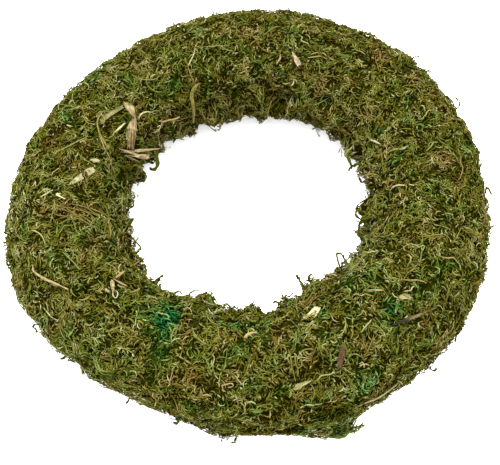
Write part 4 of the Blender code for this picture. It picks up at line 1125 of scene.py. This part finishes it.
def lay_bit(name, material, knots, widths, thick, squareness=1.0, cup=0.0, crumple=0.0, ribs=0.0, jag=0.0,
            slant=0.0, turn=0.0, hollow=0.0, lift=0.0, stations=30, sides=16, shape=None):
    """One bit: a section carried along a line, with u from 0 to 1 along it and v round it. Its half width
    is w = widths(u) / 2, and the section is (w |cos v|^q, thick/2 |sin v|^q) with the signs of cos v and
    sin v, where q is the squareness. cup bends it across, by cup * cos(v)^2 of w. crumple and ribs are
    ripples in mm. jag moves the ends to and fro along the line, slant shears the piece along it, hollow is
    how deep the ends are open and lift raises the piece, all in mm. turn is how far the section turns from
    root to tip, in degrees, and shape gives its girth at (u, v). Both ends close on a point in the
    middle."""
    seed = sum(ord(letter) * (place + 1) for place, letter in enumerate(name))
    ring, roll, height = np.array(knots, dtype=float).T
    ring, roll = np.radians(ring), np.radians(roll)
    spots = on_roll(ring, roll, moss_radius(ring, roll) + height / 1000.0)
    ups = outwards(ring, roll)
    u = np.linspace(0.0, 1.0, stations)
    v = np.linspace(0.0, 2.0 * math.pi, sides, endpoint=False)
    line = smooth_line(spots, stations)
    onwards = np.gradient(line, axis=0)
    onwards /= np.linalg.norm(onwards, axis=1, keepdims=True)
    up = smooth_line(ups, stations)
    up -= onwards * (up * onwards).sum(axis=1, keepdims=True)
    up /= np.linalg.norm(up, axis=1, keepdims=True)
    beside = np.cross(onwards, up)
    angle = (math.radians(turn) * u)[:, None]
    beside, up = np.cos(angle) * beside + np.sin(angle) * up, np.cos(angle) * up - np.sin(angle) * beside
    reach = np.linalg.norm(np.diff(line, axis=0), axis=1).sum()
    half = eased(widths, u)[:, None] / 2000.0
    deep = np.minimum(thick / 2000.0, half)
    swell = 1.0 if shape is None else shape(u[:, None], v[None, :])
    along_ribs = 0.7 + 0.3 * ripple(seed + 1, u, 0.5)[:, None]
    swell = swell + ribs * ripple(seed, v * 6.0, 1.0)[None, :] * along_ribs
    across = half * power_of(np.cos(v), squareness) * swell
    rise = deep * power_of(np.sin(v), squareness) * swell
    rise = rise + cup * half * np.cos(v) ** 2 - cup * half * 0.5
    folds = ripple(seed + 2, u * reach * 1000.0, 4.0)[:, None]
    folds = folds * ripple(seed + 3, across * 1000.0 + u[:, None] * 3.0, 4.0)
    rise = rise + crumple / 1000.0 * folds
    shift = jag / 1000.0 * ripple(seed + 4, v * 3.0, 2.2)[None, :]
    shift = shift * (u[:, None] ** 6 - (1.0 - u[:, None]) ** 6)
    shift = shift + slant / 1000.0 * np.cos(v)[None, :]
    grid = (
        line[:, None, :] + across[..., None] * beside[:, None, :] + rise[..., None] * up[:, None, :]
        + shift[..., None] * onwards[:, None, :]
    )
    rows = [grid]
    for end, way in ((0, 1.0), (-1, -1.0)):
        centre = grid[end].mean(axis=0)
        rim = centre + 0.72 * (grid[end] - centre)
        if hollow:
            depth = way * (hollow / 1000.0) * onwards[end]
            closing = np.array([rim, rim + depth, np.broadcast_to(centre + depth, rim.shape)])
        else:
            closing = (centre + 0.5 * (rim - centre))[None]
        rows = [closing[::-1], *rows] if end == 0 else [*rows, closing]
    points = np.concatenate(rows)
    long_way, round_way = points.shape[:2]
    index = np.arange(long_way * round_way).reshape(long_way, round_way)
    beyond = np.roll(index, -1, axis=1)
    faces = np.stack([index[:-1], beyond[:-1], beyond[1:], index[1:]], axis=-1).reshape(-1, 4)
    root_faces = np.stack([np.full(round_way, index.size), beyond[0], index[0]], axis=-1)
    tip_faces = np.stack([np.full(round_way, index.size + 1), index[-1], beyond[-1]], axis=-1)
    poles = np.array([points[0].mean(axis=0), points[-1].mean(axis=0)])
    points = np.concatenate([points.reshape(-1, 3), poles])
    # The piece goes to the middle of its solid's box, but only in or out of the moss.
    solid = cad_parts[name]
    box = np.array([solid.matrix_world @ corner.co for corner in solid.data.vertices])
    away = ups.mean(axis=0) / np.linalg.norm(ups.mean(axis=0))
    apart = (box.min(axis=0) + box.max(axis=0) - points.min(axis=0) - points.max(axis=0)) / 2.0
    points += (apart @ away + RAISED + lift / 1000.0) * away
    mesh = bpy.data.meshes.new(f"{name}_laid")
    mesh.from_pydata(points.tolist(), [], faces.tolist() + root_faces.tolist() + tip_faces.tolist())
    grain = mesh.uv_layers.new(name="grain")
    girth = 2.0 * (half.max() + deep.max())
    along_it = np.concatenate([np.repeat(np.linspace(0.0, reach, long_way), round_way), [0.0, reach]])
    round_it = np.concatenate([np.tile(np.linspace(0.0, girth, round_way), long_way), [0.0, 0.0]])
    loops = np.empty(len(mesh.loops), dtype=np.int32)
    mesh.loops.foreach_get("vertex_index", loops)
    places = np.stack([along_it[loops], round_it[loops]], axis=1)
    grain.data.foreach_set("uv", places.astype(np.float32).ravel())
    mesh.shade_smooth()
    mesh.set_sharp_from_angle(angle=SHARP_EDGE)
    mesh.materials.append(material)
    piece = bpy.data.objects.new(f"{name}_laid", mesh)
    bpy.context.scene.collection.objects.link(piece)
    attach(piece, "root")
    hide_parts(name)


# The straw at the upper left of the hole
# A split straw stalk with a joint, torn off at its top, lies over the moss. Splinters of it, a chunk and a
# long dry leaf lie across its lower end.
PALE_STRAW = ((0.036, 0.024, 0.009), (0.124, 0.094, 0.044), (0.246, 0.202, 0.112))
BROWN_STRAW = ((0.014, 0.008, 0.002), (0.060, 0.040, 0.015), (0.150, 0.112, 0.052))
stalk_straw = fibre_finish(
    "stalk_straw", PALE_STRAW, 0.5, 260.0, 3200.0, far_tones=BROWN_STRAW, change=(0.0085, 0.0125)
)
pale_straw = fibre_finish("pale_straw", PALE_STRAW, 0.5, 300.0, 3000.0)
dry_straw = fibre_finish(
    "dry_straw", ((0.040, 0.026, 0.008), (0.115, 0.085, 0.034), (0.220, 0.180, 0.090)), 0.5, 260.0, 3200.0
)
pale_wood = fibre_finish(
    "pale_wood", ((0.130, 0.112, 0.052), (0.245, 0.220, 0.112), (0.330, 0.305, 0.170)), 0.7, 400.0, 2600.0
)
old_wood = fibre_finish(
    "old_wood", ((0.058, 0.047, 0.021), (0.124, 0.109, 0.055), (0.195, 0.178, 0.098)), 0.7, 400.0, 2600.0
)
dry_leaf = fibre_finish(
    "dry_leaf", ((0.040, 0.034, 0.011), (0.120, 0.106, 0.044), (0.210, 0.190, 0.095)), 0.6, 200.0, 4200.0
)
green_straw = fibre_finish(
    "green_straw", ((0.024, 0.022, 0.006), (0.072, 0.066, 0.023), (0.150, 0.142, 0.068)), 0.6, 160.0, 2600.0
)
olive_stem = fibre_finish(
    "olive_stem", ((0.026, 0.021, 0.003), (0.078, 0.064, 0.013), (0.140, 0.122, 0.036)), 0.6, 500.0, 3000.0
)


def jointed(u, v):
    """A stalk's girth: a neck at the top, a swollen joint with a dark groove under it, and two long splits
    below."""
    neck = -0.36 * np.exp(-((u / 0.12) ** 2))
    joint = 0.16 * np.exp(-(((u - 0.40) / 0.035) ** 2)) - 0.24 * np.exp(-(((u - 0.47) / 0.016) ** 2))
    splits = np.exp(-(((v - 1.15) / 0.20) ** 2)) + np.exp(-(((v - 2.0) / 0.16) ** 2))
    below = 1.0 / (1.0 + np.exp(-(u - 0.50) / 0.012))
    return 1.0 + neck + joint - 0.50 * splits * below


lay_bit("straw_stalk", stalk_straw, ((148.7, 129.4, 0.6), (160.9, 147.2, 0.6)),
        (4.2, 5.4, 6.4, 6.0, 5.6, 4.6), 3.8, ribs=0.05, jag=0.9, hollow=2.5, stations=70, sides=48,
        shape=jointed)
lay_bit("straw_torn_end", pale_straw, ((149.0, 129.4, 1.0), (147.6, 124.4, 1.6), (146.9, 116.4, 1.0)),
        (1.8, 4.4, 5.4, 2.8), 0.8, squareness=0.5, cup=0.35, crumple=0.9, ribs=0.05, jag=1.3, stations=40,
        sides=24)
lay_bit("leaf_blade", green_straw, ((157.6, 108.3, 0.6), (153.3, 111.4, 1.2), (148.0, 116.2, 0.8)),
        (2.4, 3.4, 3.0, 2.8, 2.4), 0.6, squareness=0.5, cup=0.5, crumple=0.25, ribs=0.08, jag=1.2,
        stations=44, sides=20, turn=25)
lay_bit("straw_splinter_1", pale_wood, ((159.0, 126.0, 0.5), (153.0, 128.5, 1.0)), (0.4, 1.3, 0.7), 0.7,
        cup=0.3, jag=0.5, lift=0.5)
lay_bit("straw_splinter_2", pale_straw, ((163.5, 145, 1.5), (153.8, 159, 15.5)), (0.6, 1.5, 1.8, 1.2, 0.5),
        0.8, cup=0.4, ribs=0.10, jag=1.0, stations=40)
lay_bit("straw_splinter_3", pale_straw, ((164.6, 137, 0.8), (161.2, 158, 5.0)), (0.4, 1.5, 0.9), 0.8, cup=0.4,
        ribs=0.10, jag=0.8)
lay_bit("straw_splinter_4", dry_straw, ((163.6, 150, 0.8), (161.4, 165, 5.0)), (0.4, 1.1, 0.5), 0.7,
        cup=0.3, jag=0.6)
lay_bit("straw_chunk", pale_straw, ((163.6, 150, 1.0), (162.0, 156, 5.0), (159.3, 162, 10.0)),
        (0.5, 0.8, 2.4, 3.2, 2.6), 1.6, squareness=0.4, crumple=0.4, ribs=0.12, jag=1.2, stations=40,
        sides=24)
lay_bit("grass_loop", olive_stem, ((167.4, 129, 0.4), (164.7, 121.4, 1.0), (162.8, 114.6, 1.4),
         (160.3, 107.9, 1.8), (157.9, 104.8, 2.2), (156.5, 105.3, 2.6), (156.6, 109.4, 2.8),
         (158.3, 111.7, 2.6), (159.6, 110.8, 2.4)), (1.3, 1.1, 1.0, 0.9, 0.8), 0.8, ribs=0.08, stations=72,
        sides=10)
lay_bit("grass_curl", pale_wood, ((146.5, 137.7, 0.2), (144.0, 135.7, 1.2), (141.8, 136.4, 1.8),
         (139.7, 139.8, 1.6), (137.8, 145.9, 0.8)), (0.4, 0.9, 0.9, 0.7, 0.4), 0.8, lift=0.8, stations=40,
        sides=10)

# Wood chips
# Flakes of pale wood, split along the grain, with square, torn ends. Three lie at the left, and two in front
# of the hole.
lay_bit("wood_chip_1", old_wood, ((183.0, 111.4, 1.0), (184.7, 105.6, 1.0), (186.4, 100.4, 0.6)),
        (3.8, 3.4, 2.4, 1.0), 1.1, squareness=0.25, crumple=0.2, ribs=0.03, jag=0.6, slant=-0.9, lift=0.7,
        sides=28)
lay_bit("wood_chip_2", old_wood, ((181.2, 115.4, 0.8), (179.0, 121.0, 0.8)), (4.6, 4.2, 3.2), 1.1,
        squareness=0.25, crumple=0.2, ribs=0.03, jag=0.5, lift=0.4, sides=28)
lay_bit("wood_chip_3", pale_wood, ((289.0, 109.0, 1.0), (291.7, 115.2, 1.0)), (4.6, 4.4, 3.5), 1.4,
        squareness=0.25, crumple=0.2, ribs=0.03, jag=0.5, slant=0.4, sides=28)
lay_bit("wood_chip_4", dry_leaf, ((286.4, 110.9, 0.6), (287.8, 108.4, 0.6)), (2.4, 3.4, 2.0), 0.9,
        squareness=0.4, crumple=0.3, jag=0.6, sides=20)
lay_bit("wood_chip_5", old_wood, ((175.3, 115.8, 0.6), (175.2, 123.5, 0.6)), (1.0, 2.8, 1.8), 0.8,
        squareness=0.4, jag=0.6, lift=0.4)

# Leaves and bark
# A flake of reddish bark, and pieces of dry leaf that have curled up and cracked.
red_bark = fibre_finish(
    "red_bark", ((0.010, 0.005, 0.002), (0.034, 0.018, 0.008), (0.064, 0.036, 0.018)), 0.8, 350.0, 2200.0
)
rose_leaf = fibre_finish(
    "rose_leaf", ((0.080, 0.052, 0.028), (0.170, 0.130, 0.076), (0.260, 0.215, 0.145)), 0.7, 350.0, 2600.0
)
lay_bit("bark_flake", red_bark, ((292.9, 72.3, 1.0), (291.6, 64.6, 1.0), (289.7, 56.0, 0.8)),
        (1.4, 3.7, 3.0, 0.8), 0.7, squareness=0.6, cup=0.4, crumple=0.5, ribs=0.08, jag=1.0, stations=40,
        sides=20)
lay_bit("leaf_bit", dry_leaf, ((315.3, 71.9, 0.8), (314.3, 76.9, 1.2), (312.4, 79.0, 0.9),
         (310.7, 76.1, 0.8), (309.2, 73.0, 0.6)), (1.6, 3.4, 2.4, 1.2, 0.6), 0.5, squareness=0.6, cup=0.6,
        crumple=0.5, jag=0.9, lift=0.3, stations=44, sides=20)
lay_bit("pale_leaf", dry_leaf, ((279.6, 49.3, 0.6), (280.9, 51.8, 1.2), (283.3, 53.9, 0.8)),
        (1.2, 3.4, 2.2, 0.8), 0.5, cup=0.6, crumple=0.4, jag=0.7, lift=0.3)
lay_bit("pink_leaf", rose_leaf, ((73.9, 117.3, 0.8), (70.2, 128.9, 1.0)), (0.7, 2.0, 3.4, 2.8), 0.5, cup=0.6,
        crumple=0.4, jag=0.6, lift=0.5)

# Twig, stalks and short straws
# A dead twig with rough bark, dry grass stalks bent by the wire, and short cut straws all over the moss.
twig_bark = fibre_finish(
    "brown_twig", ((0.003, 0.003, 0.002), (0.008, 0.0075, 0.005), (0.026, 0.023, 0.016)), 0.8, 600.0, 2000.0,
    bump=0.5, far_tones=((0.026, 0.018, 0.007), (0.068, 0.049, 0.022), (0.130, 0.100, 0.052)),
    change=(0.011, 0.018),
)
lay_bit("brown_twig", twig_bark, ((306.5, 66.8, 0.4), (309.8, 63.3, 0.8), (313.3, 58.4, 0.8),
         (319.0, 49.2, 0.8)), (0.8, 1.6, 1.8, 1.6, 1.3, 0.7), 1.5, crumple=0.3, ribs=0.16, jag=0.7,
        lift=0.3, stations=48)
lay_bit("thin_stalk", pale_straw, ((293.9, 17.5, 0.6), (298.0, 12.6, 0.8), (302.6, 11.0, 0.8)),
        (0.7, 1.3, 0.8), 0.8, ribs=0.1, lift=0.5, stations=40, sides=10)
lay_bit("bent_stalk", pale_straw,
        ((207.2, 51.3, 0.8), (209.3, 52.0, 1.2), (212.2, 55.9, 1.2), (215.1, 61.6, 1.0), (218.5, 67.7, 0.6)),
        (0.6, 1.0, 1.3, 1.1, 0.6), 0.9, cup=0.4, ribs=0.1, jag=0.7, stations=48)
lay_bit("moss_stem", olive_stem, ((113.6, 138.6, 0.6), (116.2, 139.6, 1.4), (118.6, 147.0, 1.6),
         (119.6, 161.0, 1.4), (119.8, 189.0, 0.6)), (1.0, 1.8, 2.6, 2.4, 2.0, 1.4), 1.6, crumple=0.3,
        ribs=0.14, lift=0.4, stations=60)
lay_bit("straw_bit_1", pale_straw, ((307.2, 104.0, 0.6), (311.2, 93.5, 0.6)), (0.6, 1.3, 0.7), 0.8,
        ribs=0.1, jag=0.4)
lay_bit("straw_bit_2", pale_wood, ((184.8, 53.0, 0.6), (189.2, 58.5, 0.6)), (0.5, 1.2, 0.6), 0.8, ribs=0.1,
        jag=0.4, lift=0.8)
lay_bit("straw_bit_3", pale_wood, ((190.1, 75.3, 0.6), (188.6, 86.2, 0.6)), (0.4, 0.9, 0.5), 0.8, ribs=0.1,
        jag=0.4, lift=0.8)
lay_bit("straw_bit_4", pale_straw, ((78.6, 119.0, 0.6), (78.2, 125.0, 0.8), (79.2, 131.5, 0.6)),
        (0.5, 1.3, 0.6), 0.8, ribs=0.1, jag=0.4)
lay_bit("straw_bit_5", pale_wood, ((189.9, 92.9, 0.6), (190.2, 89.2, 1.0), (192.0, 96.5, 0.6)),
        (0.5, 1.1, 1.0, 0.5), 0.8, ribs=0.1, lift=0.4)
lay_bit("straw_tuft_1", dry_straw, ((224.7, 106, 0.6), (224.2, 117.5, 1.2)), (0.8, 1.6, 0.8), 0.6, cup=0.5,
        jag=0.6)
lay_bit("straw_tuft_2", dry_straw, ((224.4, 105, 0.6), (228.4, 110.5, 0.8)), (0.5, 1.3, 0.6), 0.6, cup=0.3,
        jag=0.5)
lay_bit("straw_tuft_3", pale_straw, ((224.0, 104.0, 0.8), (225.3, 101.0, 0.8), (227.0, 97.0, 0.8)),
        (1.2, 2.4, 2.2, 1.2), 0.8, cup=0.5, crumple=0.3, jag=0.6, lift=0.3)

# The table, the light and the camera.
# A white table top without an edge, a white room, and one soft lamp high up at the back left.
floor_mesh = bpy.data.meshes.new("table_top")
floor_mesh.from_pydata([(-3, -3, 0), (3, -3, 0), (3, 3, 0), (-3, 3, 0)], [], [(0, 1, 2, 3)])
table_top = bpy.data.objects.new("table_top", floor_mesh)
bpy.context.scene.collection.objects.link(table_top)
white_paint, _, _, white_shader = plain_finish("white_paint", 0.9)
white_shader.inputs["Base Color"].default_value = (0.95, 0.95, 0.95, 1.0)
white_shader.inputs["Emission Color"].default_value = (1.0, 1.0, 1.0, 1.0)
white_shader.inputs["Emission Strength"].default_value = 0.35
floor_mesh.materials.append(white_paint)

room = bpy.data.worlds.new("white_room")
room.use_nodes = True
room.node_tree.nodes["Background"].inputs["Color"].default_value = (1.0, 1.0, 1.0, 1.0)
room.node_tree.nodes["Background"].inputs["Strength"].default_value = 3.6
bpy.context.scene.world = room

lamp = bpy.data.lights.new("softbox", "AREA")
lamp.shape = "DISK"
lamp.size = 0.8
lamp.energy = 54.0
softbox = bpy.data.objects.new("softbox", lamp)
softbox.location = (-0.25, 0.35, 1.40)
softbox.rotation_euler = (math.radians(-14.1), math.radians(-10.3), 0.0)
bpy.context.scene.collection.objects.link(softbox)

camera_data = bpy.data.cameras.new("camera")
camera_data.lens = 63.65
camera_data.sensor_width = 36.0
camera = bpy.data.objects.new("camera", camera_data)
camera.location = (-0.00016, -0.31225, 0.49703)
camera.rotation_euler = (math.radians(90.0 - 58.158), 0.0, 0.0)
bpy.context.scene.collection.objects.link(camera)
bpy.context.scene.camera = camera
bpy.context.scene.view_settings.view_transform = "Standard"
